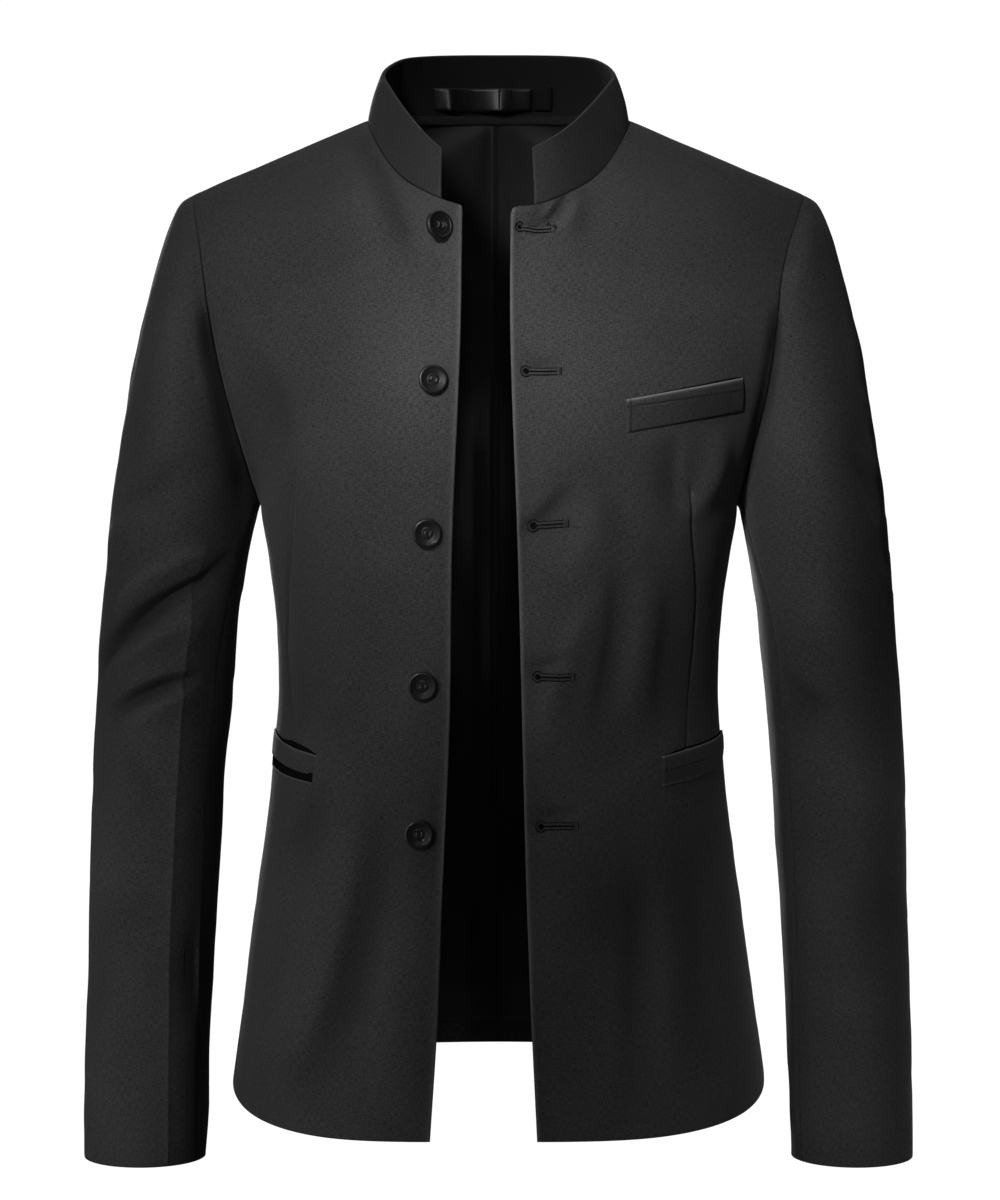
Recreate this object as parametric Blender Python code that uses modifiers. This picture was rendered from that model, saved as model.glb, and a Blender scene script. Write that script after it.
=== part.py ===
"""Stand collar suit jacket, worn open on a general figure with no wearer in it.

Metres, +Z up. The front of the jacket faces -Y. The origin is in the middle of the neck,
at the height where the shoulder seams meet the collar.
Across is the distance from the middle plane; the wearer's right side has negative X.
"""
import math

import bmesh
import bpy
import numpy as np
from mathutils import Matrix, Vector

# Cloth walls and the clearances between pieces
CLOTH = 0.0020            # wall of a body or sleeve panel
COLLAR_WALL = 0.0030      # stiffened band
WELT_WALL = 0.0016        # folded strip on the pockets
LINING_WALL = 0.0010
SEAM_GAP = 0.0003         # between two pieces that are sewn together
COLLAR_SEAM = 0.0009      # under the thicker collar, whose wall leans over the panels'
LAID_GAP = 0.0003         # between a piece and the panel it lies on
ARMHOLE_GAP = 0.0005      # sleeve head clear of the body

RIGHT, LEFT = -1, 1       # sign of X on the wearer's right and left side

# Torso below the armholes: half width, and depth at the middle front, side seam and middle back
UNDERARM_Z = -0.2850
TORSO_COLUMNS = ("z", "half_width", "front_y", "side_y", "back_y")
TORSO = (
    (-0.7400, 0.2020, -0.1400, 0.0140, 0.1320),
    (-0.6500, 0.1895, -0.1360, 0.0140, 0.1250),
    (-0.5600, 0.1772, -0.1315, 0.0140, 0.1150),
    (-0.4900, 0.1683, -0.1270, 0.0140, 0.1030),
    (-0.4280, 0.1633, -0.1245, 0.0140, 0.0945),
    (-0.3700, 0.1648, -0.1265, 0.0140, 0.0980),
    (-0.3200, 0.1708, -0.1290, 0.0140, 0.1060),
    (-0.2850, 0.1760, -0.1300, 0.0140, 0.1110),
    (-0.1900, 0.1760, -0.1270, 0.0140, 0.1170),
    (-0.1100, 0.1760, -0.1130, 0.0140, 0.1110),
    (-0.0670, 0.1760, -0.1010, 0.0140, 0.1020),
    (-0.0300, 0.1760, -0.0880, 0.0140, 0.0900),
    (0.0018, 0.1760, -0.0800, 0.0140, 0.0755),
)

# Front edges, which hang open: their distance from the middle plane
EDGE_COLUMNS = ("z", "right", "left")
EDGE = (
    (-0.7310, 0.0486, 0.0274),
    (-0.6430, 0.0430, 0.0232),
    (-0.5440, 0.0393, 0.0196),
    (-0.4330, 0.0345, 0.0168),
    (-0.3100, 0.0328, 0.0136),
    (-0.1620, 0.0270, 0.0086),
    (-0.0670, 0.0258, 0.0089),
)

# Hem height against the share of the panel's width, front edge or middle back to side seam
HEM_COLUMNS = ("across", "front", "back")
HEM = (
    (0.00, -0.7310, -0.7060),
    (0.35, -0.7308, -0.7065),
    (0.65, -0.7250, -0.7085),
    (1.00, -0.7115, -0.7115),
)

# Neck seam and collar top, from the front corner round to the middle back. drop lowers the
# right end of the collar, which has been pulled further open.
NECK_COLUMNS = ("step", "x", "y", "z", "top_x", "top_y", "top_z", "drop")
NECK = (
    (0, 0.0089, -0.1025, -0.0679, 0.0080, -0.0940, -0.0300, 0.000),
    (1, 0.0258, -0.1010, -0.0668, 0.0240, -0.0920, -0.0255, 0.009),
    (2, 0.0407, -0.0975, -0.0622, 0.0402, -0.0880, -0.0171, 0.009),
    (3, 0.0540, -0.0905, -0.0560, 0.0530, -0.0775, -0.0078, 0.007),
    (4, 0.0670, -0.0785, -0.0480, 0.0640, -0.0640, 0.0030, 0.005),
    (5, 0.0775, -0.0640, -0.0375, 0.0730, -0.0475, 0.0130, 0.003),
    (6, 0.0860, -0.0450, -0.0245, 0.0805, -0.0270, 0.0225, 0.001),
    (7, 0.0930, -0.0230, -0.0110, 0.0850, -0.0070, 0.0295, 0.000),
    (8, 0.0955, 0.0000, -0.0028, 0.0848, 0.0120, 0.0345, 0.000),
    (9, 0.0920, 0.0250, -0.0010, 0.0800, 0.0300, 0.0405, 0.000),
    (10, 0.0800, 0.0470, 0.0005, 0.0700, 0.0480, 0.0460, 0.000),
    (11, 0.0580, 0.0630, 0.0013, 0.0510, 0.0600, 0.0485, 0.000),
    (12, 0.0300, 0.0725, 0.0017, 0.0265, 0.0665, 0.0495, 0.000),
    (13, 0.0000, 0.0755, 0.0018, 0.0000, 0.0685, 0.0497, 0.000),
)
SHOULDER_STEP = 8         # where the shoulder seam meets the neck seam
BACK_STEP = 13            # middle back
CORNER_STEP = {RIGHT: 1, LEFT: 0}        # top corner of the front edge
COLLAR_STEP = {RIGHT: 2.0, LEFT: 1.0}    # where the collar ends, short of that corner
CORNER_ROWS = 6           # of the upper front rows, those that start on the front edge
NAPE_ROWS = 7             # of the upper back rows, those that start on the centre back seam

# Armhole: an oval seen from the side, and how far out it lies at each height
SHOULDER_TIP_Z = -0.0560
ARMHOLE_Y = 0.0140
ARMHOLE_FRONT = 0.0690
ARMHOLE_BACK = 0.0600
ARMHOLE_COLUMNS = ("z", "right", "left")
ARMHOLE = (
    (-0.2850, 0.1760, 0.1760),
    (-0.2454, 0.1862, 0.1845),
    (-0.2127, 0.1950, 0.1920),
    (-0.1819, 0.2024, 0.1975),
    (-0.1504, 0.2084, 0.2012),
    (-0.1200, 0.2128, 0.2043),
    (-0.0950, 0.2167, 0.2100),
    (-0.0560, 0.2241, 0.2241),
)

# Sleeve sections: outer and inner point of each, and its depth to front and back
# and the place of the forearm seam, in degrees round from the outer side by way of the front
SLEEVE_COLUMNS = ("row", "outer_x", "outer_z", "inner_x", "inner_z", "middle_y", "front", "back",
                  "seam")
SLEEVE = (
    (0, 0.2241, -0.0560, 0.1760, -0.2850, 0.0140, 0.0690, 0.0600, 165),
    (1, 0.2368, -0.0672, 0.1772, -0.2866, 0.0125, 0.0710, 0.0630, 165),
    (2, 0.2492, -0.1020, 0.1779, -0.2880, 0.0110, 0.0725, 0.0655, 165),
    (3, 0.2595, -0.1420, 0.1784, -0.2898, 0.0090, 0.0735, 0.0675, 165),
    (4, 0.2690, -0.1850, 0.1788, -0.2920, 0.0065, 0.0735, 0.0685, 165),
    (5, 0.2765, -0.2300, 0.1794, -0.2955, 0.0035, 0.0730, 0.0690, 164),
    (6, 0.2828, -0.2750, 0.1810, -0.3030, 0.0000, 0.0720, 0.0690, 163),
    (7, 0.2872, -0.3150, 0.1846, -0.3230, -0.0040, 0.0705, 0.0680, 158),
    (8, 0.2905, -0.3540, 0.1888, -0.3540, -0.0070, 0.0690, 0.0665, 149),
    (9, 0.2938, -0.3980, 0.1936, -0.3980, -0.0105, 0.0665, 0.0645, 143),
    (10, 0.2963, -0.4420, 0.1974, -0.4420, -0.0138, 0.0640, 0.0625, 142),
    (11, 0.2984, -0.5006, 0.2018, -0.5006, -0.0184, 0.0605, 0.0590, 142),
    (12, 0.2998, -0.5600, 0.2054, -0.5600, -0.0230, 0.0570, 0.0560, 142),
    (13, 0.3016, -0.6250, 0.2090, -0.6250, -0.0280, 0.0530, 0.0525, 145),
    (14, 0.3032, -0.6930, 0.2123, -0.6930, -0.0335, 0.0495, 0.0490, 149),
    (15, 0.3043, -0.7608, 0.2148, -0.7608, -0.0385, 0.0465, 0.0465, 150),
)
CAP_ROWS = 6              # rows over which the armhole's oval turns into a sleeve section
HINDARM_SEAM = 255
TOP_COLUMNS = 18
UNDER_COLUMNS = 6

# Folds of the sleeves: from and to, in degrees round and height, depth and half width
FOLD_COLUMNS = ("side", "from_turn", "from_z", "to_turn", "to_z", "depth", "spread")
FOLDS = (
    (RIGHT, 150, -0.322, 20, -0.394, 0.0065, 0.0100),
    (RIGHT, 152, -0.398, 45, -0.430, 0.0050, 0.0090),
    (RIGHT, 165, -0.352, 235, -0.372, 0.0050, 0.0120),
    (RIGHT, 150, -0.300, 85, -0.318, -0.0030, 0.0110),
    (LEFT, 190, -0.350, 300, -0.405, 0.0050, 0.0120),
    (LEFT, 175, -0.410, 120, -0.430, 0.0030, 0.0110),
)
FOLD_FADE = 0.15          # share of its length that a fold runs on past both ends, fading
FOLD_BLUNTNESS = 0.7
ELBOW_ROWS = (6, 9)       # first and last row whose sections are set three times as close
SLEEVE_RADIUS = 0.055     # middling, to turn half a seam gap into degrees

# Pocket pieces, in the view from the front: across and height of their corners
WELT_TOP = ((0.0904, -0.2040), (0.1735, -0.1900))
WELT_HEIGHT = 0.0242
FLAP_TOP = {RIGHT: ((0.1297, -0.4596), 0.0060), LEFT: ((0.1157, -0.4605), 0.0045)}
FLAP_HEIGHT = 0.0225
FLAP_END = 0.965          # share of the front panel where a flap stops, near the side seam
WELT_LIFT = (0.0003, 0.0004, 0.0004)     # further lift of the three rows, from the top down
FLAP_LIFT = (0.0004, 0.0006, 0.0010)

# Buttons on the right front: across and height of each, top to bottom
BUTTONS = ((0.0400, -0.0834), (0.0454, -0.1905), (0.0500, -0.2983), (0.0534, -0.4070), (0.0563, -0.5126))
BUTTON_RADIUS = 0.0105
BUTTON_THICK = 0.0034
BUTTON_PROFILE = (        # radius and height, as shares of the two above
    (0.0, 0.62),
    (0.58, 0.62),
    (0.74, 0.96),
    (0.90, 1.0),
    (1.0, 0.70),
    (0.98, 0.25),
    (0.78, 0.0),
)
SHANK_RADIUS = 0.0022
SHANK_FOOT = 0.0025       # radius where the thread meets the cloth
SHANK_LENGTH = 0.0018
SHANK_GAP = 0.0004        # between the thread's foot and the cloth

# Pieces inside the back of the collar: across and height of their ends
LOOP_ENDS = (-0.0500, 0.0255)
LOOP_TOP, LOOP_BOTTOM, LOOP_SLACK = 0.0250, 0.0085, 0.0040
SLACK_BLUNTNESS = 0.6
TAB_ENDS = (0.0275, 0.0410)
TAB_TOP, TAB_BOTTOM = 0.0262, 0.0080
INNER_WALL = 0.0010
INNER_GAP = 0.0007        # room for the collar's straight facets behind a strip

LINING_GAP = 0.0005
LINING_HEM = 0.040        # the lining ends this far above the hem, in shares of the lower rows
LINING_SIDE = 0.985       # and this close to the side seam; its top row is one below the shoulder's
PLEAT_HALF = 0.0050
PLEAT_DEPTH = 0.0030
PLEAT_SHARES = (0.0, 0.014, 0.030)       # columns of the lining's half that shape the pleat

# Shape of a panel's rows: how far each end pulls its tangent, at the underarm and less above it
PULL = 0.60
PULL_LESS = 0.25

# Meshes
LOWER_ROWS = 12
UPPER_ROWS = 12
PANEL_COLUMNS = 10
COLLAR_ROWS = 3
SHORTEST_STEP = 0.2       # between two columns of the collar
STRIP_ROWS = 2
STRIP_COLUMNS = 8
LOOP_COLUMNS = 10
TAB_COLUMNS = 3
BUTTON_STEPS = 18
MITRE_LIMIT = 0.6         # least cosine a mitred wall is lengthened for
SHARP_ANGLE = 40
EPS = 1e-3                # step for slopes, in a surface's own units
SOLVE_STEPS = 12


def side_name(side):
    return "right" if side == RIGHT else "left"


def spline(columns, rows, name, at):
    """Smooth value of one named column at a value of the first column."""
    rows = sorted(rows)
    xs = [row[0] for row in rows]
    ys = [row[columns.index(name)] for row in rows]
    last = len(xs) - 1
    at = min(max(at, xs[0]), xs[last])
    k = max(i for i in range(last) if xs[i] <= at)

    def slope(i):
        low, high = max(i - 1, 0), min(i + 1, last)
        return (ys[high] - ys[low]) / (xs[high] - xs[low])

    width = xs[k + 1] - xs[k]
    u = (at - xs[k]) / width
    rise = ys[k + 1] - ys[k]
    return (ys[k] + rise * u * u * (3 - 2 * u)
            + width * u * (1 - u) * ((1 - u) * slope(k) - u * slope(k + 1)))


def bezier(a, b, c, d, t):
    s = 1 - t
    return a * s ** 3 + b * 3 * s * s * t + c * 3 * s * t * t + d * t ** 3


def torso(name, z):
    return spline(TORSO_COLUMNS, TORSO, name, z)


def neck(step, top=False):
    names = ("top_x", "top_y", "top_z") if top else ("x", "y", "z")
    return np.array([spline(NECK_COLUMNS, NECK, name, step) for name in names])


def armhole(side, turn):
    """Point of the armhole seam: 0 degrees at the shoulder, 90 at the front, 180 under the arm."""
    a = math.radians(turn)
    middle = (SHOULDER_TIP_Z + UNDERARM_Z) / 2
    z = middle + (SHOULDER_TIP_Z - UNDERARM_Z) / 2 * math.cos(a)
    depth = ARMHOLE_FRONT if math.sin(a) > 0 else ARMHOLE_BACK
    y = ARMHOLE_Y - depth * math.sin(a)
    return np.array([spline(ARMHOLE_COLUMNS, ARMHOLE, side_name(side), z), y, z])


def front_start(side, share):
    """Start of an upper front row: up the front edge, then round the neck to the shoulder."""
    corner = CORNER_STEP[side]
    edge_share = CORNER_ROWS / UPPER_ROWS
    if share >= edge_share:
        part = (share - edge_share) / (1 - edge_share)
        return neck(corner + (SHOULDER_STEP - corner) * part)
    z = UNDERARM_Z + (neck(corner)[2] - UNDERARM_Z) * share / edge_share
    return front_edge(side, z)


def front_edge(side, z):
    return np.array([spline(EDGE_COLUMNS, EDGE, side_name(side), z), torso("front_y", z), z])


def back_start(side, share):
    """Start of an upper back row: up the centre back seam, then round the neck."""
    middle_share = NAPE_ROWS / UPPER_ROWS
    if share >= middle_share:
        part = (share - middle_share) / (1 - middle_share)
        return neck(BACK_STEP + (SHOULDER_STEP - BACK_STEP) * part)
    z = UNDERARM_Z + (neck(BACK_STEP)[2] - UNDERARM_Z) * share / middle_share
    return np.array([0.0, torso("back_y", z), z])


def panel_point(kind, side, across, up):
    """Outer face of a front or back panel. up is 0 at the hem, 1 at the underarm, 2 at the
    shoulder seam; across is 0 at the front edge or middle back, 1 at side seam and armhole."""
    share = up - 1
    if share <= 0:
        hem = spline(HEM_COLUMNS, HEM, kind, across)
        z = UNDERARM_Z + (hem - UNDERARM_Z) * (1 - up)
        start = front_edge(side, z) if kind == "front" else np.array([0.0, torso("back_y", z), z])
        end = np.array([torso("half_width", z), torso("side_y", z), z])
        share = 0.0
    else:
        start = front_start(side, share) if kind == "front" else back_start(side, share)
        turn = 180 * (1 - share)
        end = armhole(side, turn if kind == "front" else -turn)
    run = end - start
    pull = PULL - PULL_LESS * share
    leave = start + pull * run * np.array([1.0, share ** 2, 1.0])
    arrive = end - pull * run * np.array([share, 1.0, 1.0])
    point = bezier(start, leave, arrive, end, across)
    return point * np.array([side, 1, 1])


def sleeve_section(row, turn):
    """Point of a plain sleeve section, before the cap is fitted to the armhole."""
    a = math.radians(turn)
    read = {name: spline(SLEEVE_COLUMNS, SLEEVE, name, row) for name in SLEEVE_COLUMNS[1:]}
    out = (1 + math.cos(a)) / 2
    depth = read["front"] if math.sin(a) > 0 else read["back"]
    return np.array([
        read["inner_x"] + (read["outer_x"] - read["inner_x"]) * out,
        read["middle_y"] - depth * math.sin(a),
        read["inner_z"] + (read["outer_z"] - read["inner_z"]) * out,
    ])


def fold_depth(side, point, turn):
    """How far the folds push the sleeve in at a point."""
    depth = 0.0
    for row in FOLDS:
        fold = dict(zip(FOLD_COLUMNS, row))
        part = (turn - fold["from_turn"]) / (fold["to_turn"] - fold["from_turn"])
        along = (part + FOLD_FADE) / (1 + 2 * FOLD_FADE)
        if fold["side"] == side and 0 < along < 1:
            line_z = fold["from_z"] + (fold["to_z"] - fold["from_z"]) * part
            fade = math.sin(math.pi * along) ** FOLD_BLUNTNESS
            depth += fold["depth"] * fade * math.exp(-((point[2] - line_z) / fold["spread"]) ** 2)
    return depth


def sleeve_point(side, row, turn):
    point = sleeve_section(row, turn)
    if row < CAP_ROWS:
        fade = (1 - row / CAP_ROWS) ** 2
        point = point + (armhole(side, turn) - sleeve_section(0, turn)) * fade
    point[0] += ARMHOLE_GAP
    return point * np.array([side, 1, 1])


def neck_steps(side):
    """Steps of the neck seam where rows of the front and back panels start."""
    corner = CORNER_STEP[side]
    front = np.linspace(corner, SHOULDER_STEP, UPPER_ROWS - CORNER_ROWS + 1)
    back = np.linspace(SHOULDER_STEP, BACK_STEP, UPPER_ROWS - NAPE_ROWS + 1)
    return np.concatenate([front, back[1:]])


def seam_chord(side, step):
    """Point of the neck seam along the straight edges of the panels under it."""
    steps = neck_steps(side)
    k = min(np.searchsorted(steps, step, side="right"), len(steps) - 1)
    part = (step - steps[k - 1]) / (steps[k] - steps[k - 1])
    return neck(steps[k - 1]) * (1 - part) + neck(steps[k]) * part


def collar_point(step, rise):
    """Outer face of the collar. step runs from the right end, below zero, to the left end."""
    side = RIGHT if step < 0 else LEFT
    place = BACK_STEP - abs(step)
    low, high = seam_chord(side, place), neck(place, top=True)
    if side == RIGHT:
        high[2] -= spline(NECK_COLUMNS, NECK, "drop", place)
    point = low + (high - low) * rise
    return point * np.array([side, 1, 1])


def normal_at(surface, u, v, flip):
    """Unit normal of surface(u, v) from small steps; flip is 1 or -1."""
    du = surface(u + EPS, v) - surface(u - EPS, v)
    dv = surface(u, v + EPS) - surface(u, v - EPS)
    n = np.cross(du, dv) * flip
    return n / np.linalg.norm(n)


def grid(surface, us, vs, flip):
    """Points and normals of surface, a row for each v."""
    points = np.array([[surface(u, v) for u in us] for v in vs])
    normals = np.array([[normal_at(surface, u, v, flip) for u in us] for v in vs])
    return points, normals


def panel_ups():
    """Rows of a panel from hem to shoulder seam."""
    return np.concatenate([np.linspace(0, 1, LOWER_ROWS + 1), np.linspace(1, 2, UPPER_ROWS + 1)[1:]])


def panel_grid(kind, side, seam=SEAM_GAP / 2):
    """Outer points and normals of a panel, kept half a seam clear of its neighbours."""
    across = np.linspace(0, 1, PANEL_COLUMNS + 1)
    up = panel_ups()
    limit = 1 - EPS * 1.01

    def surface(u, v):
        return panel_point(kind, side, min(max(u, 0.0), 1.0), min(max(v, 0.0), 2.0))

    flip = side if kind == "front" else -side
    points, normals = grid(surface, across, up, flip)
    if kind == "back":
        middle = LOWER_ROWS + NAPE_ROWS + 1
        normals[:middle, 0, 0] = 0.0
        normals[:middle, 0] /= np.linalg.norm(normals[:middle, 0], axis=1)[:, None]
        points[:middle, 0, 0] = side * seam
    for row, v in enumerate(up):
        step = surface(1.0, v) - surface(limit, v)
        points[row, -1] -= step / np.linalg.norm(step) * seam
    for column, u in enumerate(across):
        step = surface(u, 2.0) - surface(u, 2.0 - 10 * EPS)
        points[-1, column] -= step / np.linalg.norm(step) * seam
    for row in range(LOWER_ROWS + UPPER_ROWS // 2, len(up)):
        turn = 180 * (2 - up[row])
        normals[row, -1] = armhole_mitre(side, turn if kind == "front" else -turn)
    return points, normals


def armhole_mitre(side, turn):
    """Direction of the wall where body and sleeve head meet, over the shoulder."""
    front = math.sin(math.radians(turn)) >= 0
    kind, flip = ("front", side) if front else ("back", -side)

    def body(u, v):
        return panel_point(kind, side, min(u, 1.0), min(v, 2.0))

    def sleeve(u, v):
        return sleeve_point(side, max(v, 0.0), u)

    share = 1 - abs(turn) / 180
    of_body = normal_at(body, 1.0, 1 + share, flip)
    of_sleeve = normal_at(sleeve, turn, 0.0, side)
    common = of_body + of_sleeve
    common /= np.linalg.norm(common)
    return common / max(common @ of_body, MITRE_LIMIT)


def mitre(normals_a, normals_b):
    """Common direction of two faces that meet, lengthened so that the wall keeps its thickness."""
    common = normals_a + normals_b
    common /= np.linalg.norm(common, axis=1)[:, None]
    cosine = np.sum(common * normals_a, axis=1)[:, None]
    return common / np.maximum(cosine, MITRE_LIMIT)


def material(name, colour, roughness, metallic=0.0):
    made = bpy.data.materials.new(name)
    made.use_nodes = True
    shader = made.node_tree.nodes["Principled BSDF"]
    shader.inputs["Base Color"].default_value = (*colour, 1)
    shader.inputs["Roughness"].default_value = roughness
    shader.inputs["Metallic"].default_value = metallic
    return made


def wall(name, outer, inner, finish):
    """Closed wall between two grids of the same shape."""
    rows, columns = outer.shape[:2]
    bm = bmesh.new()
    front = [[bm.verts.new(p) for p in row] for row in outer]
    back = [[bm.verts.new(p) for p in row] for row in inner]
    for r in range(rows - 1):
        for c in range(columns - 1):
            bm.faces.new((front[r][c], front[r][c + 1], front[r + 1][c + 1], front[r + 1][c]))
            bm.faces.new((back[r][c], back[r + 1][c], back[r + 1][c + 1], back[r][c + 1]))
    around = [(0, c) for c in range(columns - 1)] + [(r, columns - 1) for r in range(rows - 1)]
    around += [(rows - 1, c) for c in range(columns - 1, 0, -1)] + [(r, 0) for r in range(rows - 1, 0, -1)]
    for (r, c), (r2, c2) in zip(around, around[1:] + around[:1]):
        bm.faces.new((front[r][c], back[r][c], back[r2][c2], front[r2][c2]))
    bmesh.ops.recalc_face_normals(bm, faces=bm.faces)
    return finished(name, bm, finish)


def finished(name, bm, finish):
    mesh = bpy.data.meshes.new(name)
    bm.to_mesh(mesh)
    bm.free()
    mesh.shade_smooth()
    mesh.set_sharp_from_angle(angle=math.radians(SHARP_ANGLE))
    made = bpy.data.objects.new(name, mesh)
    made.data.materials.append(finish)
    JACKET.objects.link(made)
    return made


def make_body(cloth):
    """Fronts and backs, mitred along the shoulder seams."""
    for side in (RIGHT, LEFT):
        front, front_normals = panel_grid("front", side)
        back, back_normals = panel_grid("back", side)
        ridge = mitre(front_normals[-1], back_normals[-1])
        front_normals[-1] = ridge
        back_normals[-1] = ridge
        wall("front_" + side_name(side), front, front - front_normals * CLOTH, cloth)
        wall("back_" + side_name(side), back, back - back_normals * CLOTH, cloth)


def sleeve_rows():
    """Sections at each table row, with two more between those round the elbow."""
    rows = []
    for row in range(len(SLEEVE) - 1):
        parts = 3 if ELBOW_ROWS[0] <= row <= ELBOW_ROWS[1] else 1
        rows += [row + k / parts for k in range(parts)]
    return rows + [len(SLEEVE) - 1]


def make_sleeves(cloth):
    for side in (RIGHT, LEFT):
        for kind, columns in (("top_sleeve", TOP_COLUMNS), ("under_sleeve", UNDER_COLUMNS)):
            rows = sleeve_rows()
            outer = np.zeros((len(rows), columns + 1, 3))
            normals = np.zeros_like(outer)
            for r, row in enumerate(rows):
                for c, turn in enumerate(seam_turns(kind, row, columns)):
                    point, n = sleeve_frame(side, row, turn)
                    if row == 0 and abs(turn) <= 90:
                        n = armhole_mitre(side, turn)
                    outer[r, c] = point - n * fold_depth(side, point, turn % 360)
                    normals[r, c] = n
            wall(kind + "_" + side_name(side), outer, outer - normals * CLOTH, cloth)


def seam_turns(kind, row, columns):
    """Turns of one sleeve piece at a section, from seam to seam."""
    forearm = spline(SLEEVE_COLUMNS, SLEEVE, "seam", row)
    half_gap = math.degrees(SEAM_GAP / 2 / SLEEVE_RADIUS)
    begin, end = (HINDARM_SEAM - 360, forearm) if kind == "top_sleeve" else (forearm, HINDARM_SEAM)
    turns = np.linspace(begin, end, columns + 1)
    turns[0] += half_gap
    turns[-1] -= half_gap
    return turns


def sleeve_frame(side, row, turn):
    """Point and normal of a sleeve, before its folds."""
    def surface(u, v):
        return sleeve_point(side, min(max(v, 0.0), len(SLEEVE) - 1), u)
    return surface(turn, row), normal_at(surface, turn, row, side)


def collar_steps(side):
    """Columns of one half of the collar, counted back from its end to the middle back."""
    end = COLLAR_STEP[side]
    steps = neck_steps(side)
    between = (steps[1:] + steps[:-1]) / 2
    steps = [step for step in sorted([*steps, *between]) if step > end + SHORTEST_STEP]
    return [BACK_STEP - step for step in [end, *steps]]


def make_collar(cloth):
    ends = COLLAR_STEP[RIGHT] - BACK_STEP, BACK_STEP - COLLAR_STEP[LEFT]
    steps = [-step for step in collar_steps(RIGHT)] + collar_steps(LEFT)[::-1][1:]
    rises = np.linspace(0, 1, COLLAR_ROWS + 1)

    def surface(u, v):
        return collar_point(min(max(u, ends[0]), ends[1]), v)

    outer, normals = grid(surface, steps, rises, -1)
    up = outer[1] - outer[0]
    outer[0] += up / np.linalg.norm(up, axis=1)[:, None] * COLLAR_SEAM
    wall("collar", outer, outer - normals * COLLAR_WALL, cloth)


def lining_offset(x):
    """Extra depth of the lining at its centre pleat."""
    return PLEAT_DEPTH * max(0.0, 1 - abs(x) / PLEAT_HALF)


def make_back_lining(satin):
    """Two halves inside the back panels, which meet at the pleat down the middle."""
    ups = panel_ups()[:-1]
    ups[0] = LINING_HEM
    shares = np.concatenate([PLEAT_SHARES, np.linspace(0, 1, PANEL_COLUMNS + 1)[1:]])
    shares[-1] = LINING_SIDE
    middle = LOWER_ROWS + NAPE_ROWS + 1
    for side in (RIGHT, LEFT):

        def surface(u, v):
            return panel_point("back", side, max(u, 0.0), v)

        points, normals = grid(surface, shares, ups, -side)
        normals[:middle, 0, 0] = 0.0
        normals[:middle, 0] /= np.linalg.norm(normals[:middle, 0], axis=1)[:, None]
        points[:middle, 0, 0] = side * SEAM_GAP / 2
        depths = [[CLOTH + LINING_GAP + lining_offset(point[0]) for point in row] for row in points]
        outer = points - normals * np.array(depths)[:, :, None]
        wall("back_lining_" + side_name(side), outer, outer - normals * LINING_WALL, satin)


def front_place(side, x, z):
    """Across and up of the point of a front panel that shows at x, z from the front."""
    across, up = 0.5, 1.2 if z > UNDERARM_Z else 0.6      # any start inside the right half will do
    target = np.array([x * side, z])

    def seen(u, v):
        return panel_point("front", side, u, v)[[0, 2]]

    for _ in range(SOLVE_STEPS):
        miss = seen(across, up) - target
        jacobian = np.array([
            (seen(across + EPS, up) - seen(across - EPS, up)) / (2 * EPS),
            (seen(across, up + EPS) - seen(across, up - EPS)) / (2 * EPS),
        ]).T
        step = np.linalg.solve(jacobian, miss)
        across = min(max(across - step[0], 2 * EPS), 1 - 5 * EPS)
        up = min(max(up - step[1], 2 * EPS), 2 - 2 * EPS)
    return across, up


def front_frame(side, across, up):
    """Point and normal of a front panel."""
    def surface(u, v):
        return panel_point("front", side, u, v)
    return surface(across, up), normal_at(surface, across, up, side)


def laid_strip(name, places, side, thickness, lift, finish):
    """Strip that lies on a front panel. places is a grid of across, up; lift raises each row."""
    inner, outer = [], []
    for row, raised in zip(places, lift):
        frames = [front_frame(side, across, up) for across, up in row]
        inner.append([p + n * (LAID_GAP + raised) for p, n in frames])
        outer.append([p + n * (LAID_GAP + raised + thickness) for p, n in frames])
    wall(name, np.array(outer), np.array(inner), finish)


def make_breast_welt(cloth):
    (x0, z0), (x1, z1) = WELT_TOP
    places = []
    for down in np.linspace(0, WELT_HEIGHT, STRIP_ROWS + 1):
        row = []
        for part in np.linspace(0, 1, STRIP_COLUMNS + 1):
            row.append(front_place(LEFT, x0 + (x1 - x0) * part, z0 + (z1 - z0) * part - down))
        places.append(row)
    laid_strip("breast_welt", places, LEFT, WELT_WALL, WELT_LIFT, cloth)


def flap_up(across, z):
    hem = spline(HEM_COLUMNS, HEM, "front", across)
    return 1 - (z - UNDERARM_Z) / (hem - UNDERARM_Z)


def make_hip_flaps(cloth):
    for side in (RIGHT, LEFT):
        (x, z), rise = FLAP_TOP[side]
        begin = front_place(side, x, z)[0]
        places = []
        for down in np.linspace(0, FLAP_HEIGHT, STRIP_ROWS + 1):
            row = []
            for part in np.linspace(0, 1, STRIP_COLUMNS + 1):
                across = begin + (FLAP_END - begin) * part
                row.append((across, flap_up(across, z + rise * min(1, 2 * part) - down)))
            places.append(row)
        laid_strip("hip_flap_" + side_name(side), places, side, WELT_WALL, FLAP_LIFT, cloth)


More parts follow.
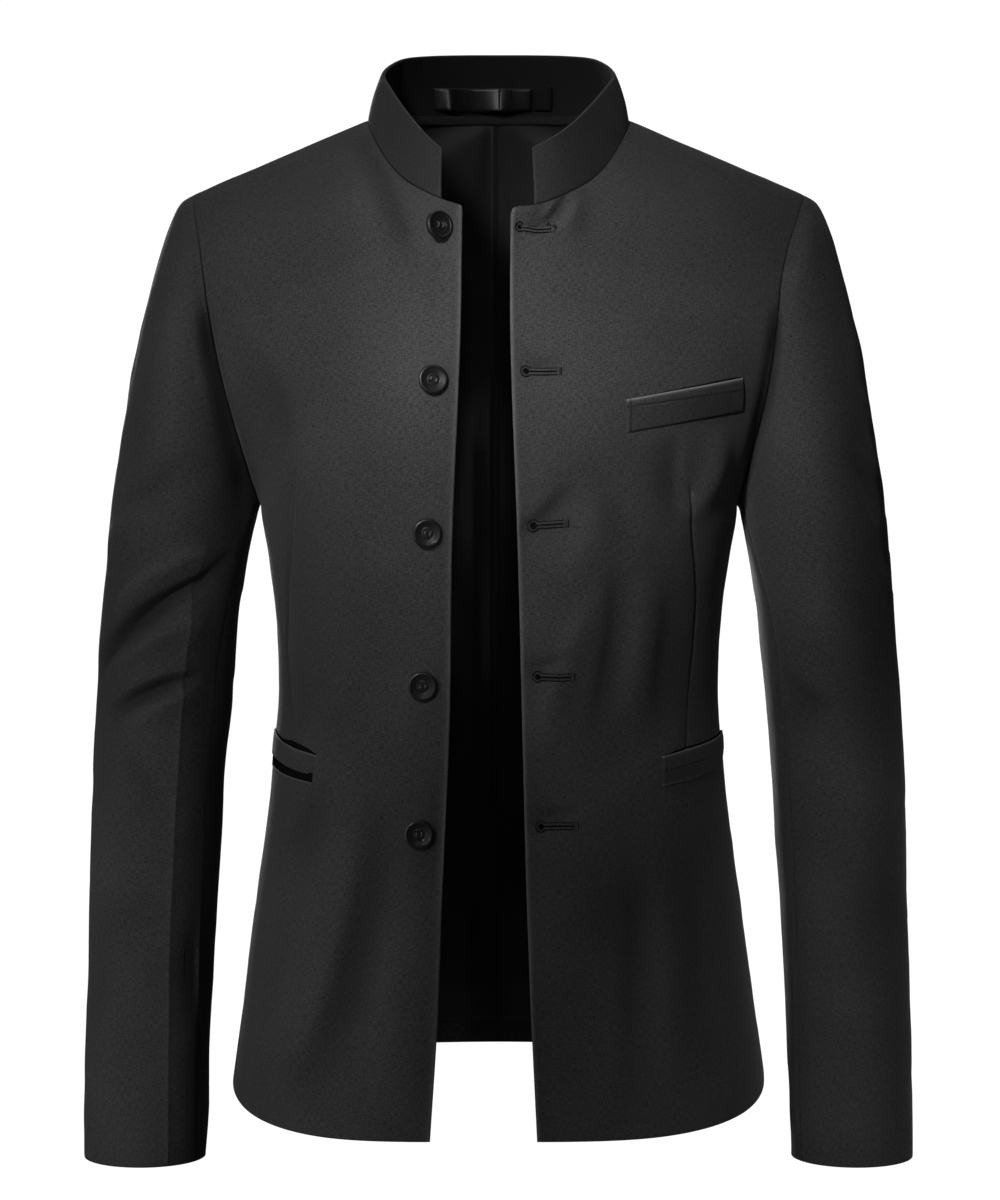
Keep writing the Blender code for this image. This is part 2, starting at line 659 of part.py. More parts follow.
def make_buttons(resin):
    """Turned discs with a raised rim and a shank of thread under them."""
    points = [(radius * BUTTON_RADIUS, 0.0, height * BUTTON_THICK) for radius, height in BUTTON_PROFILE]
    points += [(SHANK_RADIUS, 0.0, 0.0), (SHANK_FOOT, 0.0, -SHANK_LENGTH), (0.0, 0.0, -SHANK_LENGTH)]
    for number, (x, z) in enumerate(BUTTONS, 1):
        mesh = bpy.data.meshes.new("button profile")
        mesh.from_pydata(points, [(k, k + 1) for k in range(len(points) - 1)], [])
        button = bpy.data.objects.new(f"button_{number}", mesh)
        mesh.materials.append(resin)
        turned = button.modifiers.new("turned", "SCREW")
        turned.steps = turned.render_steps = BUTTON_STEPS
        turned.use_merge_vertices = True
        turned.merge_threshold = 1e-6
        turned.use_smooth_shade = True
        point, n = front_frame(RIGHT, *front_place(RIGHT, x, z))
        seat = Vector(point + n * (SHANK_GAP + SHANK_LENGTH))
        spin = Vector(n).to_track_quat("Z", "Y").to_matrix().to_4x4()
        button.matrix_world = Matrix.Translation(seat) @ spin
        JACKET.objects.link(button)


def collar_inside(x, z):
    """Point and normal inside the back of the collar, at x and height z."""
    step, rise = 0.0, 0.5
    for _ in range(SOLVE_STEPS):
        p = collar_point(step, rise)
        du = (collar_point(step + EPS, rise) - collar_point(step - EPS, rise)) / (2 * EPS)
        dv = (collar_point(step, rise + EPS) - collar_point(step, rise - EPS)) / (2 * EPS)
        change = np.linalg.solve(np.array([du[[0, 2]], dv[[0, 2]]]).T, p[[0, 2]] - np.array([x, z]))
        step, rise = step - change[0], rise - change[1]
    n = normal_at(collar_point, step, rise, -1)
    return collar_point(step, rise) - n * COLLAR_WALL, -n


def inner_strip(name, ends, top, bottom, slack, columns, finish):
    """Strip sewn inside the collar, standing off by slack in its middle."""
    near, far = [], []
    for z in np.linspace(bottom, top, STRIP_ROWS + 1):
        near_row, far_row = [], []
        for part in np.linspace(0, 1, columns + 1):
            point, n = collar_inside(ends[0] + (ends[1] - ends[0]) * part, z)
            off = INNER_GAP + slack * math.sin(math.pi * part) ** SLACK_BLUNTNESS
            near_row.append(point + n * off)
            far_row.append(point + n * (off + INNER_WALL))
        near.append(near_row)
        far.append(far_row)
    wall(name, np.array(far), np.array(near), finish)


for old in list(bpy.data.objects):
    bpy.data.objects.remove(old)
JACKET = bpy.data.collections.new("stand collar suit jacket")
bpy.context.scene.collection.children.link(JACKET)

charcoal = material("charcoal suiting", (0.027, 0.027, 0.029), 0.85)
black_satin = material("black satin", (0.008, 0.008, 0.009), 0.45)
black_resin = material("black resin", (0.006, 0.006, 0.006), 0.22)

make_body(charcoal)
make_sleeves(charcoal)
make_collar(charcoal)
make_back_lining(black_satin)
make_breast_welt(charcoal)
make_hip_flaps(charcoal)
make_buttons(black_resin)
inner_strip("hanger_loop", LOOP_ENDS, LOOP_TOP, LOOP_BOTTOM, LOOP_SLACK, LOOP_COLUMNS, black_satin)
inner_strip("size_tab", TAB_ENDS, TAB_TOP, TAB_BOTTOM, 0.0, TAB_COLUMNS, black_satin)
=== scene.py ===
"""Looks of the stand collar suit jacket, worn open on a general figure with no wearer in it.

Metres, +Z up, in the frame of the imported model: the front faces -Y, and the origin is in the
middle of the neck. The wearer's right side has negative X and shows on the viewer's left.
Every cloth piece is a thin shell on its solid's form, with its seams, darts and creases.
The long tables are in millimetres, and metres() turns them to metres.
"""
import math

import bmesh
import bpy
import numpy as np
from mathutils import Matrix, Vector


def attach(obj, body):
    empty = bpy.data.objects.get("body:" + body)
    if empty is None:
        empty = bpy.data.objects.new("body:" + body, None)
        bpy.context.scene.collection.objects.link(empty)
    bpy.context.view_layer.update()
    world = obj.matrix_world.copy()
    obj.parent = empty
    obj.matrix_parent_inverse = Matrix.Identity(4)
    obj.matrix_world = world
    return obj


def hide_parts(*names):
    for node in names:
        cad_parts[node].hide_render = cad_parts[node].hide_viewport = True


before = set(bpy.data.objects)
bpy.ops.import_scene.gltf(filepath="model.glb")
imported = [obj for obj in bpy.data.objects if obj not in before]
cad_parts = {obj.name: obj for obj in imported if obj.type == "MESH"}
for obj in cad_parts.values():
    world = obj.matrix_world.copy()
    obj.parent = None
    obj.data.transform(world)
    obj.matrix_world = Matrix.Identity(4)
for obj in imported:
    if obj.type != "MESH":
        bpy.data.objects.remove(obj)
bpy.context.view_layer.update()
bpy.ops.object.select_all(action="DESELECT")

# Sizes of the cloth, as in the solids
CLOTH = 0.0020
COLLAR_WALL = 0.0030
LINING_WALL = 0.0010
LINING_GAP = 0.0005
SEAM_GAP = 0.0003
EPS = 1e-3
RIGHT, LEFT = -1, 1


def metres(columns, rows, kept=()):
    """Rows of a table in millimetres turned to metres, apart from the columns in kept."""
    units = [1 if name in kept else 1000 for name in columns]
    return [tuple(value / unit for value, unit in zip(row, units)) for row in rows]


# Torso below the armholes: half width, and depth at the middle front, side seam and middle back
UNDERARM_Z = -0.2850
TORSO_COLUMNS = ("z", "half_width", "front_y", "side_y", "back_y")
TORSO = metres(TORSO_COLUMNS, (
    (-740, 202, -140, 14, 132),
    (-650, 189.5, -136, 14, 125),
    (-560, 177.2, -131.5, 14, 115),
    (-490, 168.3, -127, 14, 103),
    (-428, 163.3, -124.5, 14, 94.5),
    (-370, 164.8, -126.5, 14, 98),
    (-320, 170.8, -129, 14, 106),
    (-285, 176, -130, 14, 111),
    (-190, 176, -127, 14, 117),
    (-110, 176, -113, 14, 111),
    (-67, 176, -101, 14, 102),
    (-30, 176, -88, 14, 90),
    (1.8, 176, -80, 14, 75.5),
))

# Front edges, which hang open: their distance from the middle plane
EDGE_COLUMNS = ("z", "right", "left")
EDGE = metres(EDGE_COLUMNS, (
    (-731, 48.6, 27.4),
    (-643, 43, 23.2),
    (-544, 39.3, 19.6),
    (-433, 34.5, 16.8),
    (-310, 32.8, 13.6),
    (-162, 27, 8.6),
    (-67, 25.8, 8.9),
))

# Hem height against the share of the panel's width, front edge or middle back to side seam
HEM_COLUMNS = ("across", "front", "back")
HEM = metres(HEM_COLUMNS, (
    (0.00, -731, -706),
    (0.35, -730.8, -706.5),
    (0.65, -725, -708.5),
    (1.00, -711.5, -711.5),
), kept=("across",))

# Neck seam and collar top, from the front corner round to the middle back
NECK_COLUMNS = ("step", "x", "y", "z", "top_x", "top_y", "top_z", "drop")
NECK = metres(NECK_COLUMNS, (
    (0, 8.9, -102.5, -67.9, 8, -94, -30, 0),
    (1, 25.8, -101, -66.8, 24, -92, -25.5, 9),
    (2, 40.7, -97.5, -62.2, 40.2, -88, -17.1, 9),
    (3, 54, -90.5, -56, 53, -77.5, -7.8, 7),
    (4, 67, -78.5, -48, 64, -64, 3, 5),
    (5, 77.5, -64, -37.5, 73, -47.5, 13, 3),
    (6, 86, -45, -24.5, 80.5, -27, 22.5, 1),
    (7, 93, -23, -11, 85, -7, 29.5, 0),
    (8, 95.5, 0, -2.8, 84.8, 12, 34.5, 0),
    (9, 92, 25, -1, 80, 30, 40.5, 0),
    (10, 80, 47, 0.5, 70, 48, 46, 0),
    (11, 58, 63, 1.3, 51, 60, 48.5, 0),
    (12, 30, 72.5, 1.7, 26.5, 66.5, 49.5, 0),
    (13, 0, 75.5, 1.8, 0, 68.5, 49.7, 0),
), kept=("step",))
SHOULDER_STEP = 8
BACK_STEP = 13
CORNER_STEP = {RIGHT: 1, LEFT: 0}
COLLAR_STEP = {RIGHT: 2.0, LEFT: 1.0}
CORNER_SHARE = 6 / 12         # share of the upper rows that start on the front edge
NAPE_SHARE = 7 / 12           # and on the centre back seam

# Armhole: an oval seen from the side, and how far out it lies at each height
SHOULDER_TIP_Z = -0.0560
ARMHOLE_Y = 0.0140
ARMHOLE_FRONT = 0.0690
ARMHOLE_BACK = 0.0600
ARMHOLE_GAP = 0.0002
ARMHOLE_COLUMNS = ("z", "right", "left")
ARMHOLE = metres(ARMHOLE_COLUMNS, (
    (-285, 176, 176),
    (-245.4, 186.2, 184.5),
    (-212.7, 195, 192),
    (-181.9, 202.4, 197.5),
    (-150.4, 208.4, 201.2),
    (-120, 212.8, 204.3),
    (-95, 216.7, 210),
    (-56, 224.1, 224.1),
))

# Sleeve sections, and the place of the forearm seam in degrees round from the outer side
SLEEVE_COLUMNS = ("row", "outer_x", "outer_z", "inner_x", "inner_z", "middle_y", "front", "back",
                  "seam")
SLEEVE = metres(SLEEVE_COLUMNS, (
    (0, 224.1, -56, 176, -285, 14, 69, 60, 165),
    (1, 236.8, -67.2, 177.2, -286.6, 12.5, 71, 63, 165),
    (2, 249.2, -102, 177.9, -288, 11, 72.5, 65.5, 165),
    (3, 259.5, -142, 178.4, -289.8, 9, 73.5, 67.5, 165),
    (4, 269, -185, 178.8, -292, 6.5, 73.5, 68.5, 165),
    (5, 276.5, -230, 179.4, -295.5, 3.5, 73, 69, 164),
    (6, 282.8, -275, 181, -303, 0, 72, 69, 163),
    (7, 287.2, -315, 184.6, -323, -4, 70.5, 68, 158),
    (8, 290.5, -354, 188.8, -354, -7, 69, 66.5, 149),
    (9, 293.8, -398, 193.6, -398, -10.5, 66.5, 64.5, 143),
    (10, 296.3, -442, 197.4, -442, -13.8, 64, 62.5, 142),
    (11, 298.4, -500.6, 201.8, -500.6, -18.4, 60.5, 59, 142),
    (12, 299.8, -560, 205.4, -560, -23, 57, 56, 142),
    (13, 301.6, -625, 209, -625, -28, 53, 52.5, 145),
    (14, 303.2, -693, 212.3, -693, -33.5, 49.5, 49, 149),
    (15, 304.3, -760.8, 214.8, -760.8, -38.5, 46.5, 46.5, 150),
), kept=("row", "seam"))
LAST_ROW = 15
CAP_ROWS = 6
HINDARM_SEAM = 255
SLEEVE_RADIUS = 0.055
AROUND = math.radians(1) * SLEEVE_RADIUS      # distance round a sleeve for each degree of turn

# Shape of a panel's rows: how far each end pulls its tangent, at the underarm and less above it
PULL = 0.60
PULL_LESS = 0.25

# Creases: a soft trough (depth below 0) or ridge along a bowed line, from and to a place.
# bow is how far the middle of the line lies to its left. The cloth over a trough hangs out, so
# the trough's upper side is narrower than its lower one.
CREASE_COLUMNS = ("from_s", "from_z", "to_s", "to_z", "bow", "width", "depth")
TROUGH_SKEW = 0.40
CREASE_PAST_END = 0.08        # share of its length by which a crease runs on, fading, past each end
FRONT_CREASES = {
    RIGHT: (
        (-101, -14.9, -64, -93, 4, 7.5, -3.4),
        (-84, -54, -56, -125, 3, 8, -2.4),
        (-108, -30, -90, -125, 6, 10, 2.2),
        (-88.5, -505, -144, -700, 10, 15, -6.6),
        (-112, -520, -162, -680, 10, 16, 4.5),
        (-64, -540, -74, -710, -6, 20, 4.4),
        (-50, -335, -90, -305, 4, 9, 1.4),
        (-85, -370, -125, -455, 4, 14, -2),
        (-65, -390, -75, -490, 4, 14, 1.4),
        (-178, -165, -150, -255, 6, 12, -3),
        (-190, -120, -170, -200, 6, 10, 1.6),
        (-130, -487, -150, -530, 2, 8, -2.2),
        (-55, -140, -80, -250, 4, 20, 1.6),
        (-49, -95, -51.5, -165, 1, 6, -1.4),
        (-43, -480, -60, -560, 3, 10, -1.4),
    ),
    LEFT: (
        (47, -59, 23.5, -83, 4, 4.2, -5.6),
        (32, -65, 12, -83, 4, 3.2, -4.4),
        (39.5, -63, 18, -85, 3, 2.6, 2.6),
        (58, -60, 40, -87, 3, 5.5, 1.8),
        (62, -56, 56, -105, 3, 9, -1.6),
        (15, -175, 45, -177, -2, 6.2, -3.2),
        (13, -299, 50, -266, -3, 8, -4.2),
        (18, -393, 56, -384, -2, 7, -3.2),
        (22, -498, 58, -494, -2, 6.6, -3.4),
        (64.9, -350, 30, -445, -3, 8.5, 3.6),
        (104.5, -330, 93, -425, 3, 12, 3.6),
        (84.1, -325, 69, -435, 4, 11, -4),
        (123, -340, 112, -440, 2, 12, -3),
        (160, -230, 139.5, -288, 6, 10, 5),
        (128, -232, 129, -295, -3, 9, -3.4),
        (117.8, -540, 119, -680, 2, 12, 3),
        (96, -550, 90, -710, 4, 15, -2.6),
        (145, -520, 152, -700, -4, 16, -2.6),
        (60, -248, 92, -315, 6, 16, -2.6),
        (74, -265, 48, -330, 4, 13, 2.6),
        (44, -430, 56, -530, 3, 15, 2),
        (35, -525, 145, -440, -6, 22, 4),
        (50, -590, 150, -520, -6, 30, -2.6),
    ),
}
BACK_CREASES = {
    RIGHT: (
        (-30, -50, -120, -90, 10, 13, -1.8),
        (-150, -180, -110, -300, 12, 13, -2.2),
        (-125, -160, -85, -290, 10, 12, 1.4),
        (-20, -410, -140, -435, 6, 10, -2),
        (-30, -445, -130, -470, 4, 12, 1.2),
        (-100, -520, -135, -690, -6, 16, -2.4),
        (-60, -530, -70, -690, 4, 14, 1.6),
    ),
    LEFT: (
        (40, -45, 130, -85, -8, 12, -1.6),
        (145, -170, 100, -270, -10, 13, -2),
        (160, -200, 125, -310, -8, 10, 1.2),
        (25, -400, 135, -440, -6, 11, -1.8),
        (35, -455, 115, -465, -4, 10, 1.2),
        (85, -510, 115, -690, 6, 15, -2.2),
        (50, -540, 45, -700, -3, 13, 1.4),
    ),
}
# On a sleeve the place round it is its turn in degrees, taken at SLEEVE_RADIUS
SLEEVE_CREASES = {
    RIGHT: (
        (119, -334.5, 24, -397, -6, 7.2, -12),
        (118, -316, 50, -356, -6, 7.5, 5.6),
        (142, -318, 104, -344, 0, 7.5, -2.2),
        (118, -364, 40, -406, -3, 6, 2.6),
        (120, -405, 50, -430, -4, 6.2, -9),
        (122, -415, 66, -442, -2, 8, 2.6),
        (124, -364, 108, -380, 1, 8, 2.6),
        (178, -352, 245, -375, 2, 10, -1.8),
        (178, -415, 245, -430, 2, 10, -1.4),
        (330, -360, 250, -385, 4, 14, 2),
        (60, -456, 105, -515, 4, 14, -2.6),
        (95, -560, 30, -600, 2, 20, -2),
        (60, -525, 20, -560, 2, 16, 1.8),
        (72, -128, 96, -180, -2, 7, -2.2),
        (112, -210, 150, -305, 6, 13, -3.6),
        (58, -135, 84, -250, -2, 12, 3.6),
        (104, -245, 40, -295, -6, 14, -3),
        (72, -285, 20, -320, -6, 12, 3),
        (130, -600, 165, -640, 2, 12, -1.8),
        (60, -650, 40, -720, 2, 14, 1.4),
    ),
    LEFT: (
        (50, -106, 72, -108.5, 0, 2.8, -2.4),
        (48, -113, 74, -115, 0, 3, 1.8),
        (104, -185, 146, -270, 4, 11, -3),
        (32, -66, 6, -190, 0, 30, 1),
        (48, -230, 8, -290, 2, 10, -3.4),
        (34, -228, 22, -268, 0, 4, 2.2),
        (48, -238, 24, -278, -2, 5, 3),
        (56, -246, 34, -290, -2, 7, -2.6),
        (28, -200, 18, -228, 0, 4.5, 1.8),
        (36, -320, 22, -352, 0, 5, 2.4),
        (190, -350, 300, -405, 4, 12, -5),
        (140, -405, 100, -430, 3, 13, -3.6),
        (112, -345, 60, -390, 4, 16, 2.8),
        (100, -470, 40, -500, 4, 18, 2.6),
        (60, -540, 30, -600, 4, 20, -2.4),
        (110, -620, 60, -650, 3, 18, 2.4),
    ),
}

# Darts: a sewn line down each front
DARTS = {
    RIGHT: ((-0.1450, -0.2560), (-0.1458, -0.2634), (-0.1483, -0.2809), (-0.1511, -0.3211),
            (-0.1540, -0.3435), (-0.1556, -0.3882), (-0.1500, -0.4560)),
    LEFT: ((0.1383, -0.2700), (0.1379, -0.2762), (0.1395, -0.3001), (0.1439, -0.3455),
           (0.1421, -0.3899), (0.1376, -0.4293), (0.1340, -0.4590)),
}


def side_name(side):
    return "right" if side == RIGHT else "left"


# The garment's surfaces, for whole grids of places at once

def spline(columns, rows, name, at):
    """Smooth values of one named column at values of the first column."""
    rows = sorted(rows)
    xs = np.array([row[0] for row in rows], float)
    ys = np.array([row[columns.index(name)] for row in rows], float)
    last = len(xs) - 1
    low = np.maximum(np.arange(last + 1) - 1, 0)
    high = np.minimum(np.arange(last + 1) + 1, last)
    slopes = (ys[high] - ys[low]) / (xs[high] - xs[low])
    at = np.clip(at, xs[0], xs[last])
    k = np.clip(np.searchsorted(xs, at, side="right") - 1, 0, last - 1)
    width = xs[k + 1] - xs[k]
    u = (at - xs[k]) / width
    rise = ys[k + 1] - ys[k]
    return (ys[k] + rise * u * u * (3 - 2 * u)
            + width * u * (1 - u) * ((1 - u) * slopes[k] - u * slopes[k + 1]))


def points(x, y, z):
    return np.stack(np.broadcast_arrays(x, y, z), axis=-1).astype(float)


def torso(name, z):
    return spline(TORSO_COLUMNS, TORSO, name, z)


def neck(step, top=False):
    names = ("top_x", "top_y", "top_z") if top else ("x", "y", "z")
    return points(*[spline(NECK_COLUMNS, NECK, name, step) for name in names])


def front_edge(side, z):
    return points(spline(EDGE_COLUMNS, EDGE, side_name(side), z), torso("front_y", z), z)


def armhole(side, turn):
    """Points of the armhole seam: 0 degrees at the shoulder, 90 at the front, 180 under the arm."""
    a = np.radians(turn)
    z = (SHOULDER_TIP_Z + UNDERARM_Z) / 2 + (SHOULDER_TIP_Z - UNDERARM_Z) / 2 * np.cos(a)
    depth = np.where(np.sin(a) > 0, ARMHOLE_FRONT, ARMHOLE_BACK)
    return points(spline(ARMHOLE_COLUMNS, ARMHOLE, side_name(side), z), ARMHOLE_Y - depth * np.sin(a), z)


def upper_start(kind, side, share):
    """Starts of the upper rows: up the front edge or centre back, then round the neck."""
    if kind == "front":
        corner, turn_share = CORNER_STEP[side], CORNER_SHARE
    else:
        corner, turn_share = BACK_STEP, NAPE_SHARE
    part = np.clip((share - turn_share) / (1 - turn_share), 0, 1)
    round_neck = neck(corner + (SHOULDER_STEP - corner) * part)
    z = UNDERARM_Z + (neck(corner)[2] - UNDERARM_Z) * np.clip(share / turn_share, 0, 1)
    along_edge = front_edge(side, z) if kind == "front" else points(0.0, torso("back_y", z), z)
    return np.where((share >= turn_share)[..., None], round_neck, along_edge)


def panel_points(kind, side, across, up):
    """Outer face of a front or back panel. up is 0 at the hem, 1 at the underarm, 2 at the
    shoulder seam; across is 0 at the front edge or middle back, 1 at side seam and armhole."""
    across, up = np.broadcast_arrays(np.asarray(across, float), np.asarray(up, float))
    share = np.clip(up - 1, 0, 1)
    hem = spline(HEM_COLUMNS, HEM, kind, across)
    z = UNDERARM_Z + (hem - UNDERARM_Z) * (1 - up)
    low_start = front_edge(side, z) if kind == "front" else points(0.0, torso("back_y", z), z)
    low_end = points(torso("half_width", z), torso("side_y", z), z)
    turn = 180 * (1 - share) * (1 if kind == "front" else -1)
    above = (up > 1)[..., None]
    start = np.where(above, upper_start(kind, side, share), low_start)
    end = np.where(above, armhole(side, turn), low_end)
    run = end - start
    share, t = share[..., None], across[..., None]
    pull = PULL - PULL_LESS * share
    full = np.ones_like(share)
    leave = start + pull * run * np.concatenate([full, share ** 2, full], -1)
    arrive = end - pull * run * np.concatenate([share, full, full], -1)
    s = 1 - t
    made = start * s ** 3 + leave * 3 * s * s * t + arrive * 3 * s * t * t + end * t ** 3
    return made * np.array([side, 1, 1])


def sleeve_section(row, turn):
    a = np.radians(turn)
    read = {name: spline(SLEEVE_COLUMNS, SLEEVE, name, row) for name in SLEEVE_COLUMNS[1:]}
    out = (1 + np.cos(a)) / 2
    depth = np.where(np.sin(a) > 0, read["front"], read["back"])
    return points(
        read["inner_x"] + (read["outer_x"] - read["inner_x"]) * out,
        read["middle_y"] - depth * np.sin(a),
        read["inner_z"] + (read["outer_z"] - read["inner_z"]) * out,
    )


def sleeve_points(side, row, turn):
    row, turn = np.broadcast_arrays(np.asarray(row, float), np.asarray(turn, float))
    made = sleeve_section(row, turn)
    fade = np.clip(1 - row / CAP_ROWS, 0, 1)[..., None] ** 2
    made = made + (armhole(side, turn) - sleeve_section(np.zeros_like(row), turn)) * fade
    made[..., 0] += ARMHOLE_GAP
    return made * np.array([side, 1, 1])


def collar_points(step, rise):
    """Outer face of the collar. step runs from the right end, below zero, to the left end."""
    step, rise = np.broadcast_arrays(np.asarray(step, float), np.asarray(rise, float))
    place = BACK_STEP - np.abs(step)
    low, high = neck(place), neck(place, top=True)
    high[..., 2] -= np.where(step < 0, spline(NECK_COLUMNS, NECK, "drop", place), 0.0)
    made = low + (high - low) * rise[..., None]
    made[..., 0] *= np.where(step < 0, -1, 1)
    return made


def normals_of(grid, outward):
    """Unit normals of a grid of points, turned to the side of a rough outward direction."""
    along = np.gradient(grid, axis=1)
    up = np.gradient(grid, axis=0)
    n = np.cross(along, up)
    n /= np.maximum(np.linalg.norm(n, axis=-1, keepdims=True), 1e-12)
    if np.sum(n * outward) < 0:
        n = -n
    return n


def seen_from_front(surface, a, b, limits, x, z):
    """Places on a surface of two shares a and b that show at x, z from the front: points, normals
    towards the viewer, and a."""
    for _ in range(12):
        here = surface(a, b)
        da = surface(a + EPS, b) - surface(a - EPS, b)
        db = surface(a, b + EPS) - surface(a, b - EPS)
        miss_x, miss_z = here[..., 0] - x, here[..., 2] - z
        turn = (da[..., 0] * db[..., 2] - db[..., 0] * da[..., 2]) / (2 * EPS)
        a = np.clip(a - (miss_x * db[..., 2] - miss_z * db[..., 0]) / turn, *limits[0])
        b = np.clip(b - (da[..., 0] * miss_z - da[..., 2] * miss_x) / turn, *limits[1])
    n = np.cross(da, db)
    n *= -np.sign(n[..., 1:2]) / np.linalg.norm(n, axis=-1, keepdims=True)
    return here, n, a


# Relief laid on the surfaces

def bell(distance, width):
    """1 at no distance, falling smoothly to 0 at about twice width."""
    return np.exp(-(distance / width) ** 2)


def crease_relief(table, s, z):
    """Height of the creases at places s, z."""
    relief = np.zeros(z.shape)
    for row in table:
        c = dict(zip(CREASE_COLUMNS, row))
        start = np.array([c["from_s"], c["from_z"]])
        end = np.array([c["to_s"], c["to_z"]])
        run = end - start
        length = np.linalg.norm(run)
        side_way = np.array([-run[1], run[0]]) / length
        ds, dz = s - start[0], z - start[1]
        part = (ds * run[0] + dz * run[1]) / length ** 2
        off = ds * side_way[0] + dz * side_way[1] - c["bow"] * 4 * part * (1 - part)
        inside = np.clip((part + CREASE_PAST_END) / (1 + 2 * CREASE_PAST_END), 0, 1)
        fade = np.clip(np.sin(np.pi * inside), 0, 1) ** 0.8
        wide = c["width"]
        if c["depth"] < 0:
            above = off * np.sign(side_way[1]) > 0
            wide = wide * np.where(above, 1 - TROUGH_SKEW, 1 + TROUGH_SKEW)
        relief += c["depth"] * fade * bell(off, wide)
    return relief


def sleeve_creases(side):
    """The sleeve's creases with their turns as distances round it."""
    rows = metres(CREASE_COLUMNS, SLEEVE_CREASES[side], kept=("from_s", "to_s"))
    return [(a * AROUND, b, c * AROUND, d, *rest) for a, b, c, d, *rest in rows]


def line_relief(line, s, z, width):
    """How near each place is to a drawn line: 1 on it, falling to 0 at about twice width."""
    nearest = np.full(z.shape, 1e9)
    for (s0, z0), (s1, z1) in zip(line, line[1:]):
        length = (s1 - s0) ** 2 + (z1 - z0) ** 2
        part = np.clip(((s - s0) * (s1 - s0) + (z - z0) * (z1 - z0)) / length, 0, 1)
        nearest = np.minimum(nearest, np.hypot(s - s0 - part * (s1 - s0), z - z0 - part * (z1 - z0)))
    return bell(nearest, width)


LATTICE = 64                  # the random values repeat after this many lumps
LATTICE_SHIFT = (31.5, 17.5)  # where on the lattice the middle of the neck lies


def unevenness(s, z, size, seed):
    """Smooth random relief from about -1 to 1, with lumps of the given size."""
    lattice = np.random.default_rng(seed).uniform(-1, 1, (LATTICE, LATTICE))
    gs, gz = s / size + LATTICE_SHIFT[0], z / size + LATTICE_SHIFT[1]
    i, j = np.floor(gs).astype(int), np.floor(gz).astype(int)
    fs, fz = gs - i, gz - j
    fs, fz = fs * fs * (3 - 2 * fs), fz * fz * (3 - 2 * fz)
    i0, i1, j0, j1 = i % LATTICE, (i + 1) % LATTICE, j % LATTICE, (j + 1) % LATTICE
    low = lattice[i0, j0] * (1 - fs) + lattice[i1, j0] * fs
    high = lattice[i0, j1] * (1 - fs) + lattice[i1, j1] * fs
    return low * (1 - fz) + high * fz


def lumps(layers, s, z, side=0):
    """Sum of uneven layers, each a height, a size of its lumps and a seed, which side varies."""
    return sum(height * unevenness(s, z, size, seed + side) for height, size, seed in layers)


def lengths(grid, axis):
    """Distance along the grid's rows (axis 1) or columns (axis 0), from the first point."""
    steps = np.linalg.norm(np.diff(grid, axis=axis), axis=-1)
    first = np.zeros_like(np.take(steps, [0], axis=axis))
    return np.concatenate([first, np.cumsum(steps, axis=axis)], axis=axis)


def rim_distance(grid):
    """Distance of each point to the nearest border of the grid, along its row or column."""
    along, up = lengths(grid, 1), lengths(grid, 0)
    return np.minimum(np.minimum(along, along[:, -1:] - along), np.minimum(up, up[-1:, :] - up))


def roll(distance, radius):
    """Drop of a rounded edge: radius at the border and 0 from radius inwards."""
    part = np.clip(1 - distance / radius, 0, 1)
    return radius * (1 - np.sqrt(np.clip(1 - part ** 2, 0, 1)))


# Distances in from a border at which the close rows and columns lie, so that it can be rounded
EDGE_STEPS = (0.0, 0.00012, 0.0003, 0.0006, 0.0010, 0.0016, 0.0026)


def spaced(low, high, count, length):
    """Values from low to high, evenly spaced but close together at both ends.
    length is the whole run in metres."""
    ends = np.array(EDGE_STEPS) / length
    middle = np.linspace(ends[-1], 1 - ends[-1], count)
    shares = np.concatenate([ends[:-1], middle, 1 - ends[:-1][::-1]])
    return low + (high - low) * shares


# Making meshes

def add_object(name, data):
    """New object in the scene, at the origin."""
    made = bpy.data.objects.new(name, data)
    bpy.context.scene.collection.objects.link(made)
    return made


